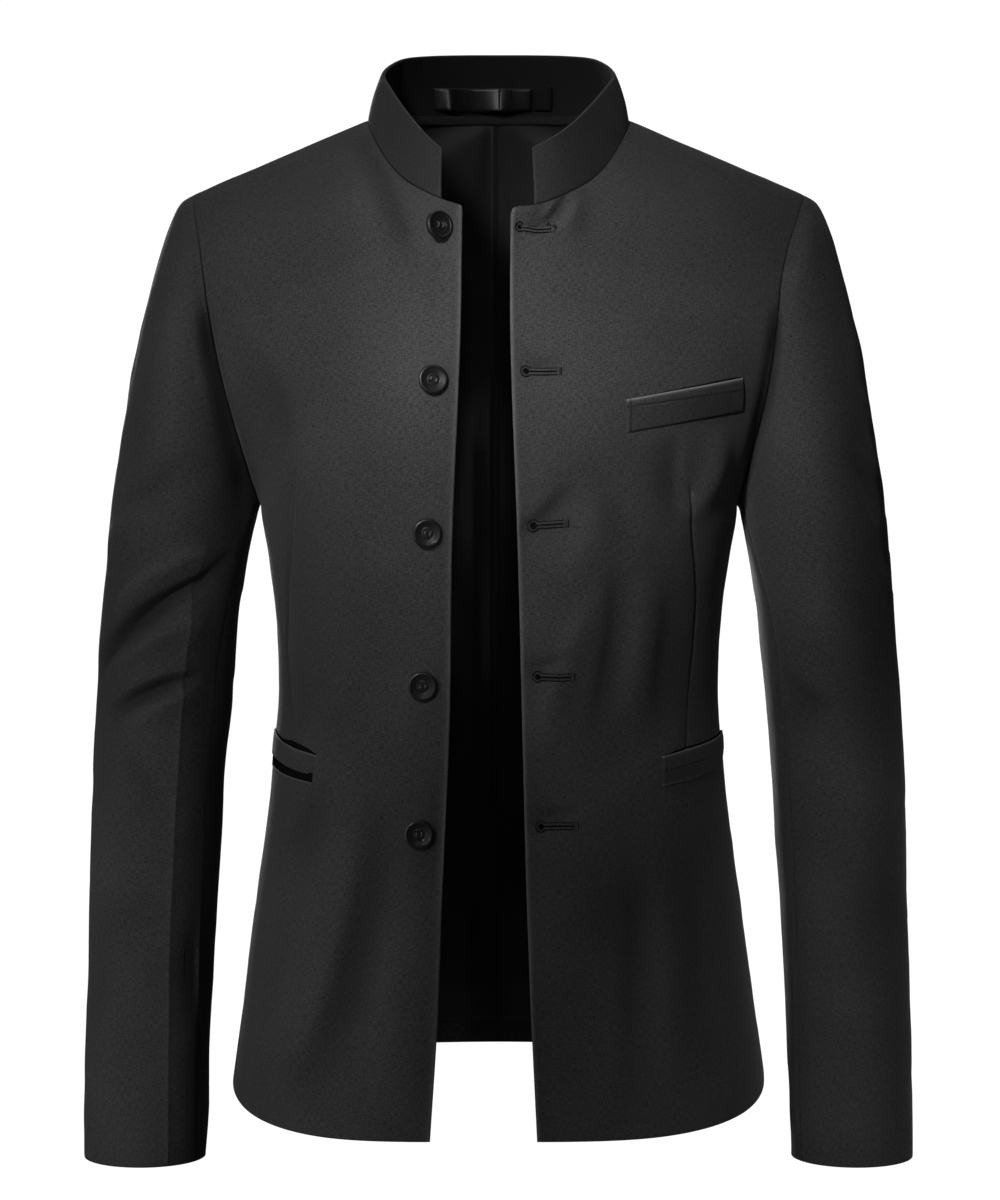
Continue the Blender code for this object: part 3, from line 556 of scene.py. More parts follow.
def shell(name, outer, inner, uv, masks, finishes, inner_slot=0):
    """Closed shell between two grids of points, with a UV map in metres and named masks."""
    rows, columns = outer.shape[:2]
    count = rows * columns
    at = np.arange(count).reshape(rows, columns)
    quads = np.stack([at[:-1, :-1], at[:-1, 1:], at[1:, 1:], at[1:, :-1]], axis=-1).reshape(-1, 4)
    middle = quads[len(quads) // 2 + columns // 2]
    flat = outer.reshape(-1, 3)
    facing = np.cross(flat[middle[1]] - flat[middle[0]], flat[middle[3]] - flat[middle[0]])
    around = np.concatenate([at[0, :], at[1:, -1], at[-1, -2::-1], at[-2:0:-1, 0]])
    after = np.roll(around, -1)
    rim = np.stack([after, around, around + count, after + count], axis=-1)
    if facing @ (flat[middle[0]] - inner.reshape(-1, 3)[middle[0]]) < 0:
        quads, rim = quads[:, ::-1], rim[:, ::-1]
    faces = np.concatenate([quads, quads[:, ::-1] + count, rim])
    mesh = bpy.data.meshes.new(name)
    mesh.vertices.add(2 * count)
    corners = np.concatenate([flat, inner.reshape(-1, 3)])
    mesh.vertices.foreach_set("co", corners.astype(np.float32).ravel())
    mesh.loops.add(faces.size)
    mesh.loops.foreach_set("vertex_index", faces.ravel().astype(np.int32))
    mesh.polygons.add(len(faces))
    mesh.polygons.foreach_set("loop_start", np.arange(0, faces.size, 4, dtype=np.int32))
    slots = np.zeros(len(faces), np.int32)
    slots[len(quads):2 * len(quads)] = np.ravel(inner_slot)
    mesh.polygons.foreach_set("material_index", slots)
    mesh.update(calc_edges=True)
    mesh.validate()
    layer = mesh.uv_layers.new(name="cloth")
    both = np.concatenate([uv.reshape(-1, 2)] * 2)
    layer.data.foreach_set("uv", both[faces.ravel()].astype(np.float32).ravel())
    for mask, values in masks.items():
        made = mesh.attributes.new(mask, "FLOAT", "POINT")
        made.data.foreach_set("value", np.concatenate([values.ravel()] * 2).astype(np.float32))
    mesh.shade_smooth()
    for finish in finishes:
        mesh.materials.append(finish)
    return add_object(name, mesh)


def dress(piece, nodes):
    """The piece rides with the jacket and stands for its solids, which are hidden."""
    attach(piece, "root")
    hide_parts(*nodes)
    return piece


# Materials

def colour(hex_code):
    """Linear colour from an sRGB hex code."""
    srgb = [int(hex_code[k:k + 2], 16) / 255 for k in (1, 3, 5)]
    return tuple(c / 12.92 if c <= 0.04045 else ((c + 0.055) / 1.055) ** 2.4 for c in srgb) + (1.0,)


def set_sockets(shader, values):
    for name, value in values.items():
        shader.inputs[name].default_value = value


def node(tree, kind, settings=(), values=(), links=()):
    """Adds a shader node with its settings, socket values and links from other nodes' outputs."""
    made = tree.nodes.new("ShaderNode" + kind)
    for name, value in dict(settings).items():
        setattr(made, name, value)
    set_sockets(made, dict(values))
    for name, source in dict(links).items():
        tree.links.new(source, made.inputs[name])
    return made


def new_material(name):
    made = bpy.data.materials.new(name)
    made.use_nodes = True
    tree = made.node_tree
    return made, tree, tree.nodes["Principled BSDF"]


PAINTED_HIGHLIGHT = "#6a6a6a"            # colour of the painted highlight along a pressed edge, standing for the light that its roll catches
SLUB_LENGTH = 5               # of a slub, in threads
FOLD_SHADE = 0.55             # how much painted shade darkens the cloth at the bottom of a deep fold


def suiting(name, dark, light, thread_mm=0.75):
    """Charcoal wool-blend suiting, plain weave, pressed: a matt cloth whose threads of two close
    greys give a fine heather, with short slubs both ways and a soft bloom at grazing angles.
    Its real threads, about 0.45 mm, are too fine to show, so they are drawn nearly twice as coarse.
    Folds and seams get painted shade, ridges painted light, and pressed edges a painted highlight."""
    made, tree, shader = new_material(name)
    uv = node(tree, "UVMap", {"uv_map": "cloth"}).outputs["UV"]
    across = 1000 / thread_mm
    along = across / SLUB_LENGTH
    warp = node(tree, "Mapping", {}, {"Scale": (across, along, 1)}, {"Vector": uv})
    weft = node(tree, "Mapping", {}, {"Scale": (along, across, 1)}, {"Vector": uv})
    grains = []
    for way in (warp, weft):
        grains.append(node(tree, "TexNoise", {"noise_dimensions": "2D"},
                           {"Scale": 1.0, "Detail": 2.0, "Roughness": 0.5},
                           {"Vector": way.outputs["Vector"]}).outputs["Fac"])
    weave = node(tree, "Math", {"operation": "ADD"}, {}, {0: grains[0], 1: grains[1]})
    grain = node(tree, "MapRange", {}, {"From Min": 0.62, "From Max": 1.38},
                 {"Value": weave.outputs[0]})
    patches = node(tree, "TexNoise", {"noise_dimensions": "2D"},
                   {"Scale": 14.0, "Detail": 3.0}, {"Vector": uv})
    tint = node(tree, "Mix", {"data_type": "RGBA"},
                {"A": colour(dark), "B": colour(light)}, {"Factor": grain.outputs["Result"]})
    # rim mask: the painted highlight along pressed edges
    rim = node(tree, "Attribute", {"attribute_name": "rim"}).outputs["Fac"]
    worn = node(tree, "Mix", {"data_type": "RGBA"},
                {"B": colour(PAINTED_HIGHLIGHT)}, {"A": tint.outputs["Result"]})
    lift = node(tree, "Math", {"operation": "MULTIPLY"}, {1: 0.35}, {0: rim})
    tree.links.new(lift.outputs[0], worn.inputs["Factor"])
    cloudy = node(tree, "MapRange", {},
                  {"From Min": 0.3, "From Max": 0.7, "To Min": 0.92, "To Max": 1.08},
                  {"Value": patches.outputs["Fac"]})
    # painted shade mask: darker in folds and seams, and painted light where it is below zero, on ridges
    painted_shade = node(tree, "Attribute", {"attribute_name": "painted_shade"}).outputs["Fac"]
    shade = node(tree, "Math", {"operation": "MULTIPLY_ADD"}, {1: -FOLD_SHADE, 2: 1.0}, {0: painted_shade})
    uneven = node(tree, "Math", {"operation": "MULTIPLY"}, {},
                  {0: cloudy.outputs["Result"], 1: shade.outputs[0]})
    final = node(tree, "Mix", {"data_type": "RGBA", "blend_type": "MULTIPLY"},
                 {"Factor": 1.0}, {"A": worn.outputs["Result"], "B": uneven.outputs[0]})
    bump = node(tree, "Bump", {}, {"Strength": 0.55, "Distance": 0.0004},
                {"Height": weave.outputs[0]})
    tree.links.new(final.outputs["Result"], shader.inputs["Base Color"])
    tree.links.new(bump.outputs["Normal"], shader.inputs["Normal"])
    set_sockets(shader, {"Roughness": 0.82, "Specular IOR Level": 0.25, "Sheen Weight": 0.22,
                         "Sheen Roughness": 0.45, "Sheen Tint": colour("#9a9a9a")})
    return made


def plain(name, hex_code, roughness, sheen=0.0, coat=0.0, gloss=0.5):
    """One even finish: woven tape, thread, moulded resin or a sheet of painted shade, with a faint
    cloudiness of its tint.
    """
    made, tree, shader = new_material(name)
    where = node(tree, "TexCoord").outputs["Object"]
    cloud = node(tree, "TexNoise", {}, {"Scale": 300.0, "Detail": 2.0}, {"Vector": where})
    dim = tuple(0.8 * c for c in colour(hex_code)[:3]) + (1.0,)
    tint = node(tree, "Mix", {"data_type": "RGBA"}, {"A": dim, "B": colour(hex_code)},
                {"Factor": cloud.outputs["Fac"]})
    tree.links.new(tint.outputs["Result"], shader.inputs["Base Color"])
    set_sockets(shader, {"Roughness": roughness, "Specular IOR Level": gloss, "Sheen Weight": sheen,
                         "Coat Weight": coat, "Coat Roughness": 0.08})
    return made


def satin(name, dark, roughness=0.45, gloss=0.15):
    """Black polyester satin lining: smooth, with a long soft gloss across its weft, and a painted
    highlight along the edge of a pressed fold."""
    made, tree, shader = new_material(name)
    uv = node(tree, "UVMap", {"uv_map": "cloth"}).outputs["UV"]
    threads = node(tree, "Mapping", {}, {"Scale": (2200, 260, 1)}, {"Vector": uv})
    fine = node(tree, "TexNoise", {"noise_dimensions": "2D"}, {"Scale": 1.0, "Detail": 1.0},
                {"Vector": threads.outputs["Vector"]})
    bump = node(tree, "Bump", {}, {"Strength": 0.15, "Distance": 0.0002},
                {"Height": fine.outputs["Fac"]})
    tree.links.new(bump.outputs["Normal"], shader.inputs["Normal"])
    # rim mask: a painted highlight, mixed towards the highlight grey
    rim = node(tree, "Attribute", {"attribute_name": "rim"}).outputs["Fac"]
    tint = node(tree, "Mix", {"data_type": "RGBA"}, {"A": colour(dark), "B": colour(PAINTED_HIGHLIGHT)},
                {"Factor": rim})
    tree.links.new(tint.outputs["Result"], shader.inputs["Base Color"])
    set_sockets(shader, {"Roughness": roughness, "Specular IOR Level": gloss, "Anisotropic": 0.5,
                         "Sheen Weight": 0.05})
    return made


CHARCOAL = suiting("charcoal wool-blend suiting", "#1c1c1c", "#3c3c3c")
# darker copy of the suiting: painted shade for the inside of the collar and for the neck tape
SHADED_NECK_CLOTH = suiting("suiting painted dark as shade inside the neck", "#0b0b0b", "#181818")
SATIN = satin("black satin lining", "#222222")
LOOP_SATIN = satin("black satin ribbon", "#0a0a0a", 0.33, 0.45)
TAB_CLOTH = plain("black woven tab", "#0a0a0a", 0.7, gloss=0.15)
BLACK_GAP = plain("shade in a pocket or slit", "#101010", 0.9, gloss=0.0)
THREAD_GREY = plain("charcoal buttonhole twist", "#363636", 0.6, sheen=0.3, gloss=0.3)
# sheet of painted shade under and round the buttonhole stitches
PAINTED_STITCH_SHADE = plain("painted shade round the buttonhole stitches", "#080808", 0.8, gloss=0.1)
THREAD_LIGHT = plain("grey button thread", "#4c4c4c", 0.5, sheen=0.2, gloss=0.2)
RESIN = plain("polished black resin", "#161616", 0.36, coat=0.2, gloss=0.35)


# Body panels

PANEL_WIDTH = 0.190           # middling width, to space the close columns at a panel's edges
LOWER_LENGTH = 0.445          # from hem to underarm
UPPER_LENGTH = 0.250          # from underarm to shoulder seam
FACING_SHARE = 0.42           # share of a front's inner side that is faced with its own cloth
HEM_TURN = 0.075              # share of the lower rows that the hem is turned up
WEAVE_HALF_WIDTH = 0.046      # oval tube that the sleeves' weave is laid out on
WEAVE_HALF_DEPTH = 0.062
SEWN_ROLL = 0.00050           # rounding of an edge that is sewn to its neighbour
FREE_ROLL = 0.00088           # and of one that was turned in and pressed
FREE_REACH = 0.0030           # how near a free edge the cloth is rounded as one
HIGHLIGHT_REACH = 0.0022         # and how far in from it the cloth has the painted highlight
RELIEF_FADE = 0.0040          # distance from a seam over which the relief fades out
SEAM_DIP = 0.00025            # how far the cloth is drawn in at a seam
SEAM_DIP_REACH = 0.0030
SEAM_LINE = 0.0009            # width of the painted shade line along a seam
SEAM_SHADE = 0.5              # and its darkness
PAINTED_SHADE_DEPTH = 0.0060         # depth at which a fold gets its full painted shade
RIDGE_LIGHT = -0.3            # and the least value of the painted shade mask: painted light on ridges
# Unevenness of the pressed cloth: height, size of the lumps and seed of each layer
FRONT_LUMPS = ((0.00110, 0.055, 3), (0.00034, 0.021, 7), (0.00008, 0.008, 11))
BACK_LUMPS = ((0.00060, 0.060, 23), (0.00020, 0.020, 27))
SLEEVE_LUMPS = ((0.00110, 0.050, 41), (0.00035, 0.020, 47), (0.00008, 0.008, 51))
COLLAR_LUMPS = ((0.00050, 0.040, 61), (0.00020, 0.016, 63))
# Grooves of a dart, each a depth and a width: its stitched line and the soft dip beside it
DART_GROOVES = ((0.0016, 0.0010), (0.0008, 0.0065))
DART_ROOM = 0.014             # share of the panel beside a dart where the columns are close
DART_COLUMNS = 44             # and how many they are there
# A pressed front edge, each part a height, its distance from the edge and its width: the ridge over
# the turned-in seam allowance, and the dip next to it
EDGE_RELIEF = ((0.00035, 0.0022, 0.0016), (-0.00080, 0.0060, 0.0024))


def panel_rows(kind, below, above):
    """Rows from hem to shoulder, close together at both ends, with one on the neck's corner."""
    hem = np.array(EDGE_STEPS) / LOWER_LENGTH
    top = 2 - np.array(EDGE_STEPS)[::-1] / UPPER_LENGTH
    lower, upper = np.linspace(hem[-1], 1, below), np.linspace(1, top[0], above)
    rows = np.concatenate([hem[:-1], lower, upper[1:], top[1:]])
    corner = 1 + (CORNER_SHARE if kind == "front" else NAPE_SHARE)
    rows[np.argmin(np.abs(rows - corner))] = corner
    return rows


def closer(values, low, high, count):
    """The values with those between low and high replaced by count evenly spaced ones."""
    outside = values[(values < low) | (values > high)]
    return np.sort(np.concatenate([outside, np.linspace(low, high, count)]))


def grain(grid):
    """Weave coordinates in metres that keep straight to the grain, level and plumb."""
    level = np.linalg.norm(np.diff(grid[..., :2], axis=1), axis=-1)
    plumb = np.linalg.norm(np.diff(grid[..., 1:], axis=0), axis=-1)
    upwards = np.sign(grid[-1, :, 2].mean() - grid[0, :, 2].mean())
    u = np.abs(grid[:, :1, 0]) + np.concatenate([0 * level[:, :1], np.cumsum(level, axis=1)], axis=1)
    v = grid[:1, :, 2] + upwards * np.concatenate([0 * plumb[:1], np.cumsum(plumb, axis=0)], axis=0)
    return np.stack([u, v], axis=-1)


def round_weave(grid, side):
    """Weave coordinates of a sleeve: level distance round an upright oval tube, and height."""
    rows = np.array([[row[SLEEVE_COLUMNS.index(name)] for name in ("outer_z", "outer_x", "middle_y")]
                     for row in SLEEVE])[::-1]
    z = grid[..., 2]
    centre_x = np.interp(z, rows[:, 0], rows[:, 1]) - WEAVE_HALF_WIDTH
    centre_y = np.interp(z, rows[:, 0], rows[:, 2])
    angle = np.unwrap(np.arctan2(centre_y - grid[..., 1], side * grid[..., 0] - centre_x), axis=1)
    part = np.linspace(-math.tau, math.tau, 1440)
    oval = np.stack([WEAVE_HALF_WIDTH * np.cos(part), WEAVE_HALF_DEPTH * np.sin(part)], axis=-1)
    arc = np.concatenate([[0], np.cumsum(np.linalg.norm(np.diff(oval, axis=0), axis=1))])
    turned = np.unwrap(np.arctan2(oval[:, 1], oval[:, 0])) - math.tau
    return np.stack([np.interp(angle, turned, arc), z], axis=-1)


def cloth_piece(name, grid, n, relief, plain_inside, free_edge=None, tuck=0.0, weave=None):
    """Suiting shell with rolled borders on a plain grid, its relief added outwards.
    plain_inside marks the places whose inner face is cloth; the rest of it is lined with satin.
    free_edge is the distance of each place from an edge that was turned in and pressed, and tuck is
    how far each place is tucked backwards, the same on both sides of a seam."""
    border = rim_distance(grid)
    free_edge = np.full(border.shape, np.inf) if free_edge is None else free_edge
    relief = relief * np.clip(border / RELIEF_FADE, 0, 1) ** 0.7
    # painted shade in folds, in the tuck at the armhole and along seams, and painted light on ridges
    painted_shade = np.clip((tuck - relief) / PAINTED_SHADE_DEPTH, RIDGE_LIGHT, 1)
    painted_shade += SEAM_SHADE * bell(border, SEAM_LINE) * (free_edge > FREE_REACH)
    hung = grid + np.asarray(tuck)[..., None] * np.array([0.0, 1.0, 0.0])
    edge = np.where(free_edge < FREE_REACH, roll(border, FREE_ROLL), roll(border, SEWN_ROLL))
    dip = SEAM_DIP * np.exp(-border / SEAM_DIP_REACH)
    outer = hung + n * (relief - edge - dip)[..., None]
    inner = hung + n * (relief - CLOTH + edge - dip)[..., None]
    # painted highlight along free edges, and the painted shade
    masks = {"rim": bell(free_edge, HIGHLIGHT_REACH), "painted_shade": painted_shade}
    slots = np.where(plain_inside[:-1, :-1], 0, 1)
    weave = grain(grid) if weave is None else weave
    piece = shell("cloth_" + name, outer, inner, weave, masks, [CHARCOAL, SATIN], slots)
    return dress(piece, [name])


# Tuck at the front of each armhole: its share of the full depth at each height
TUCK_HEIGHTS = (-0.2850, -0.2760, -0.1640, -0.1360)
TUCK_SHARE = (0, 1, 1, 0)
TUCK_DEPTH = {RIGHT: 0.0100, LEFT: 0.0085}
# How far it reaches from the seam on the chest and on the sleeve, at the lowest and the top height
TUCK_CHEST = {RIGHT: (0.0022, 0.0022), LEFT: (0.0085, 0.0065)}
TUCK_SLEEVE = {RIGHT: (0.0210, 0.0080), LEFT: (0.0040, 0.0030)}


def tuck_back(side, z, from_seam, reach):
    """How far the cloth is tucked back along the front of the armhole, where the chest hangs over
    the sleeve."""
    reach = np.interp(z, (TUCK_HEIGHTS[0], TUCK_HEIGHTS[-1]), reach)
    return TUCK_DEPTH[side] * np.interp(z, TUCK_HEIGHTS, TUCK_SHARE) * bell(from_seam, reach)


def front_relief(side, x, z):
    """Creases, dart and unevenness of a front panel at places as they show from the front."""
    relief = crease_relief(metres(CREASE_COLUMNS, FRONT_CREASES[side]), x, z)
    relief += lumps(FRONT_LUMPS, x, z, side)
    for depth, width in DART_GROOVES:
        relief -= depth * line_relief(DARTS[side], x, z, width)
    return relief


def on_front(side, x, z):
    """Places on a front panel that show at x, z from the front: points, normals and across."""
    x, z = np.broadcast_arrays(np.asarray(x, float), np.asarray(z, float))
    across, up = np.full(x.shape, 0.5), np.where(z > UNDERARM_Z, 1.2, 0.6)
    limits = ((2 * EPS, 1 - 5 * EPS), (2 * EPS, 2 - 2 * EPS))
    return seen_from_front(lambda a, b: panel_points("front", side, a, b), across, up, limits, x, z)


def on_cloth(side, x, z, lift):
    """Points on a front's creased cloth raised by lift, and normals."""
    here, n, _ = on_front(side, x, z)
    x, z = np.broadcast_arrays(np.asarray(x, float), np.asarray(z, float))
    return here + n * (front_relief(side, x, z) + lift)[..., None], n


CORNER_ROUND = {RIGHT: 0.0012, LEFT: 0.0030}      # radius of a front's top corner
CORNER_REACH = 2.4            # how far round the corner the cloth is drawn in, in radii


def round_corner(grid, row, side):
    """Draws in a front's top corner, which is turned and pressed, not sharp."""
    corner = grid[row, 0].copy()
    radius = CORNER_ROUND[side]
    near = np.clip(1 - np.linalg.norm(grid - corner, axis=-1) / (CORNER_REACH * radius), 0, 1) ** 2
    return grid + near[..., None] * np.array([side * 0.5, 0.0, -0.5]) * radius


def make_front(side, columns=72, below=165, above=100):
    line = np.array(DARTS[side])
    dart_across = on_front(side, line[:, 0], line[:, 1])[2]
    across = spaced(0, 1, columns, PANEL_WIDTH)
    across = closer(across, dart_across.min() - DART_ROOM, dart_across.max() + DART_ROOM, DART_COLUMNS)
    up = panel_rows("front", below, above)
    grid = panel_points("front", side, across[None, :], up[:, None])
    grid = round_corner(grid, np.argmin(np.abs(up - 1 - CORNER_SHARE)), side)
    n = normals_of(grid, np.array([0, -1.0, 0]))
    relief = front_relief(side, grid[..., 0], grid[..., 2])
    from_edge = lengths(grid, 1)
    from_edge[up > 1 + CORNER_SHARE + EPS] += 1.0       # rows that start on the neck seam
    for height, place, width in EDGE_RELIEF:
        relief += height * bell(from_edge - place, width)
    facing = (across[None, :] < FACING_SHARE) | (up[:, None] < HEM_TURN)
    from_seam = lengths(grid[:, ::-1], 1)[:, ::-1]
    tuck = tuck_back(side, grid[:, -1:, 2], from_seam, TUCK_CHEST[side])
    return cloth_piece("front_" + side_name(side), grid, n, relief, facing, from_edge, tuck)


def back_grid(side, across, up):
    """Plain grid of a back panel, and its normals, which point straight back at the centre seam."""
    grid = panel_points("back", side, across[None, :], up[:, None])
    n = normals_of(grid, np.array([0, 1.0, 0]))
    n[up <= 1 + NAPE_SHARE, 0] *= np.array([0, 1, 1])
    return grid, n


def make_back(side, columns=56, below=110, above=70):
    up = panel_rows("back", below, above)
    grid, n = back_grid(side, spaced(0, 1, columns, PANEL_WIDTH), up)
    x, z = grid[..., 0], grid[..., 2]
    relief = crease_relief(metres(CREASE_COLUMNS, BACK_CREASES[side]), x, z)
    relief += lumps(BACK_LUMPS, x, z, side)
    hem = np.broadcast_to(up[:, None] < HEM_TURN, x.shape)
    return cloth_piece("back_" + side_name(side), grid, n, relief, hem)


# Sleeves

SLEEVE_LENGTH = 0.72          # middling length and widths, to space the close rows and columns
TOP_SLEEVE_WIDTH = 0.24
UNDER_SLEEVE_WIDTH = 0.10
PRESSED_TURN = 110            # where the right sleeve was pressed to a sharp crease
PRESSED_TOP_Z = -0.300
PRESSED_FADE = 0.04           # height over which it fades in from its top
PRESSED_BEND = 7              # degrees by which it bends inwards at its top
PRESSED_BEND_HEIGHT = 0.035
PRESSED_SWING = 5             # degrees by which it swings inwards towards the cuff
PRESSED_SWING_Z = -0.60       # from this height on
PRESSED_SWING_HEIGHT = 0.15
PRESSED_RIDGE = (0.0012, 0.0026)      # height and width of its sharp ridge
PRESSED_SWELL = (0.0015, 0.015)       # and of the soft swelling under it
PRESSED_SHARE = (0.80, 0.93)  # part of the top sleeve's columns that it runs along
PRESSED_COLUMNS = 34          # and how many they are there
TUCK_FADE = 10                # degrees under the arm over which the tuck fades out
CUFF_TURN_Z = -0.725          # below this the inside of a sleeve is its own turned-up cloth


def sleeve_grid(side, kind, columns, rows):
    row = spaced(0, LAST_ROW, rows, SLEEVE_LENGTH)
    forearm = spline(SLEEVE_COLUMNS, SLEEVE, "seam", row)
    half_gap = math.degrees(SEAM_GAP / 2 / SLEEVE_RADIUS)
    if kind == "top":
        begin, end, width = HINDARM_SEAM - 360 + 0 * forearm, forearm, TOP_SLEEVE_WIDTH
    else:
        begin, end, width = forearm, HINDARM_SEAM + 0 * forearm, UNDER_SLEEVE_WIDTH
    share = spaced(0, 1, columns, width)
    if kind == "top" and side == RIGHT:
        share = closer(share, *PRESSED_SHARE, PRESSED_COLUMNS)
    turn = (begin + half_gap)[:, None] + (end - begin - 2 * half_gap)[:, None] * share[None, :]
    return sleeve_points(side, row[:, None], turn), turn


def pressed_crease(turn, z):
    """Ridge of the pressed crease: sharp on top, fading out above the elbow."""
    at = PRESSED_TURN + PRESSED_BEND * bell(z - PRESSED_TOP_Z, PRESSED_BEND_HEIGHT)
    at = at + PRESSED_SWING * np.clip((PRESSED_SWING_Z - z) / PRESSED_SWING_HEIGHT, 0, 1)
    off = (turn - at) * AROUND
    fade = np.clip((PRESSED_TOP_Z - z) / PRESSED_FADE, 0, 1)
    sharp = PRESSED_RIDGE[0] * np.exp(-np.abs(off) / PRESSED_RIDGE[1])
    return fade * (sharp + PRESSED_SWELL[0] * bell(off, PRESSED_SWELL[1]))


def make_sleeve(side, kind, columns, rows=235):
    grid, turn = sleeve_grid(side, kind, columns, rows)
    axis = grid.mean(axis=1, keepdims=True)
    n = normals_of(grid, grid - axis)
    z = grid[..., 2]
    s = np.where(turn < 0, turn + 360, turn) * AROUND
    relief = crease_relief(sleeve_creases(side), s, z)
    relief += lumps(SLEEVE_LUMPS, s, z, side)
    if side == RIGHT:
        relief += pressed_crease(turn, z)
    in_front = np.clip((180 - turn) / TUCK_FADE, 0, 1) * (turn > 0)
    tuck = tuck_back(side, grid[:1, :, 2], lengths(grid, 0), TUCK_SLEEVE[side]) * in_front
    name = f"{kind}_sleeve_{side_name(side)}"
    return cloth_piece(name, grid, n, relief, z < CUFF_TURN_Z, tuck=tuck, weave=round_weave(grid, side))


# Collar

COLLAR_LENGTH = 0.46          # middling length and height, to space the close columns and rows
COLLAR_HEIGHT = 0.045
COLLAR_SHADE = 0.90           # painted shade over the whole collar, which darkens its cloth
COLLAR_BOW = 0.0012           # how far its middle stands out between its two edges
COLLAR_ROLL = 0.0012          # rounding of its edges
COLLAR_SEAM_LIFT = (0.0004, 0.0008)   # height and reach of the lift of its lower edge off the seam
COLLAR_HIGHLIGHT = (0.7, 0.0012) # strength and reach of the painted highlight along its free edges


def make_collar(columns=190, rows=18):
    begin, end = COLLAR_STEP[RIGHT] - BACK_STEP, BACK_STEP - COLLAR_STEP[LEFT]
    step = spaced(begin, end, columns, COLLAR_LENGTH)
    rise = spaced(0, 1, rows, COLLAR_HEIGHT)
    grid = collar_points(step[None, :], rise[:, None])
    n = normals_of(grid, grid * np.array([1, 1, 0]))
    s, z = lengths(grid, 1), grid[..., 2]
    relief = lumps(COLLAR_LUMPS, s, z)
    up = lengths(grid, 0)
    free = np.minimum(np.minimum(s, s[:, -1:] - s), up[-1:, :] - up)
    border = rim_distance(grid)
    relief = relief * np.clip(border / RELIEF_FADE, 0, 1) + COLLAR_BOW * np.sin(np.pi * rise)[:, None]
    edge = roll(border, COLLAR_ROLL)
    height, reach = COLLAR_SEAM_LIFT
    lift = np.array([0, 0, 1]) * (height * np.exp(-up / reach))[..., None]
    outer = grid + n * (relief - edge)[..., None] + lift
    inner = grid + n * (relief - COLLAR_WALL + edge)[..., None] + lift
    # a painted highlight along the free edges, and painted shade over the whole collar
    strength, reach = COLLAR_HIGHLIGHT
    masks = {"rim": strength * bell(free, reach), "painted_shade": np.full(z.shape, COLLAR_SHADE)}
    weave = grain(grid)
    weave[..., 0] = weave[..., 0].mean(axis=0)
    # the collar's inner face is the darker copy of the suiting: painted shade
    piece = shell("cloth_collar", outer, inner, weave, masks, [CHARCOAL, SHADED_NECK_CLOTH], 1)
    dress(piece, ["collar"])


def collar_inside(x, z):
    """Points inside the back of the collar that show at x, z from the front, and their normals."""
    x, z = np.broadcast_arrays(np.asarray(x, float), np.asarray(z, float))
    anywhere = (-np.inf, np.inf)
    here, n, _ = seen_from_front(collar_points, np.zeros_like(x), np.full(x.shape, 0.5),
                                 (anywhere, anywhere), x, z)
    return here + n * COLLAR_WALL, n


# Back lining, and the tape over its top edge, in suiting painted dark as shade

LINING_HEM = 0.040            # share of the lower rows that the lining stops short of the hem
LINING_SIDE = 0.985           # share of the panel's width that it covers
# Its columns, close together round the centre pleat: shares of the width, and how many lie between
LINING_SPANS = ((0, 0.022, 8), (0.022, 0.050, 22), (0.050, 0.090, 8), (0.090, LINING_SIDE, 49))
LINING_TOP = 2 - 1 / 12       # row where it ends under the shoulder seam
LINING_HELD = 0.030           # distance from its sewn edges over which its folds fade out
PLEAT_X = -0.0060             # where the centre pleat's edge lies
PLEAT_DEPTH = 0.0018
PLEAT_SIDES = (0.0008, 0.0060)        # how far it reaches over its edge, and on its open side
PLEAT_END_Z = -0.30
PLEAT_FADE = 0.10             # height over which it fades out
PLEAT_LEAST = 0.3             # share of its depth that is left below its end
PLEAT_HIGHLIGHT_Z = -0.24        # its edge has a painted highlight above this
PLEAT_HIGHLIGHT = (0.7, 0.0004)  # strength and reach of that painted highlight
SHORT_PLEATS = 0.0018         # depth of the short pleats at the neck
SHORT_PLEATS_LENGTH = 0.12
SHORT_PLEATS_STEP = 0.0048    # distance between them, over 2 pi
# Loose folds, narrow and wide: depth, width over height, width and seed of each layer
LINING_FOLDS = ((0.0022, 0.22, 0.024, 71), (0.0030, 0.90, 0.055, 75))
LOOSE_FROM_MIDDLE = 0.02      # distance from the middle, and down from the neck, over which they
LOOSE_FROM_NECK = 0.05        # set in


def lining_folds(x, z, side):
    """Depth of the loose lining's folds: the centre pleat, short pleats at the neck, and waves."""
    off = x - PLEAT_X
    pleat = PLEAT_DEPTH * np.exp(-np.abs(off) / np.where(off > 0, *PLEAT_SIDES))
    pleat = pleat * np.clip((z - PLEAT_END_Z) / PLEAT_FADE + PLEAT_LEAST, PLEAT_LEAST, 1)
    fade = np.clip((z + SHORT_PLEATS_LENGTH) / SHORT_PLEATS_LENGTH, 0, 1)
    wander = x + 0.15 * z * np.sin(x / 0.02)
    wave = np.sin(wander / SHORT_PLEATS_STEP + 2.0 * np.sin(x / 0.011))
    short = SHORT_PLEATS * fade * np.maximum(0, wave) ** 2
    folds = sum(deep * (1 + unevenness(x, z * squat, wide, seed + side))
                for deep, squat, wide, seed in LINING_FOLDS)
    loose = np.clip(np.abs(x) / LOOSE_FROM_MIDDLE, 0, 1) * np.clip(-z / LOOSE_FROM_NECK, 0, 1)
    return pleat + short + folds * loose


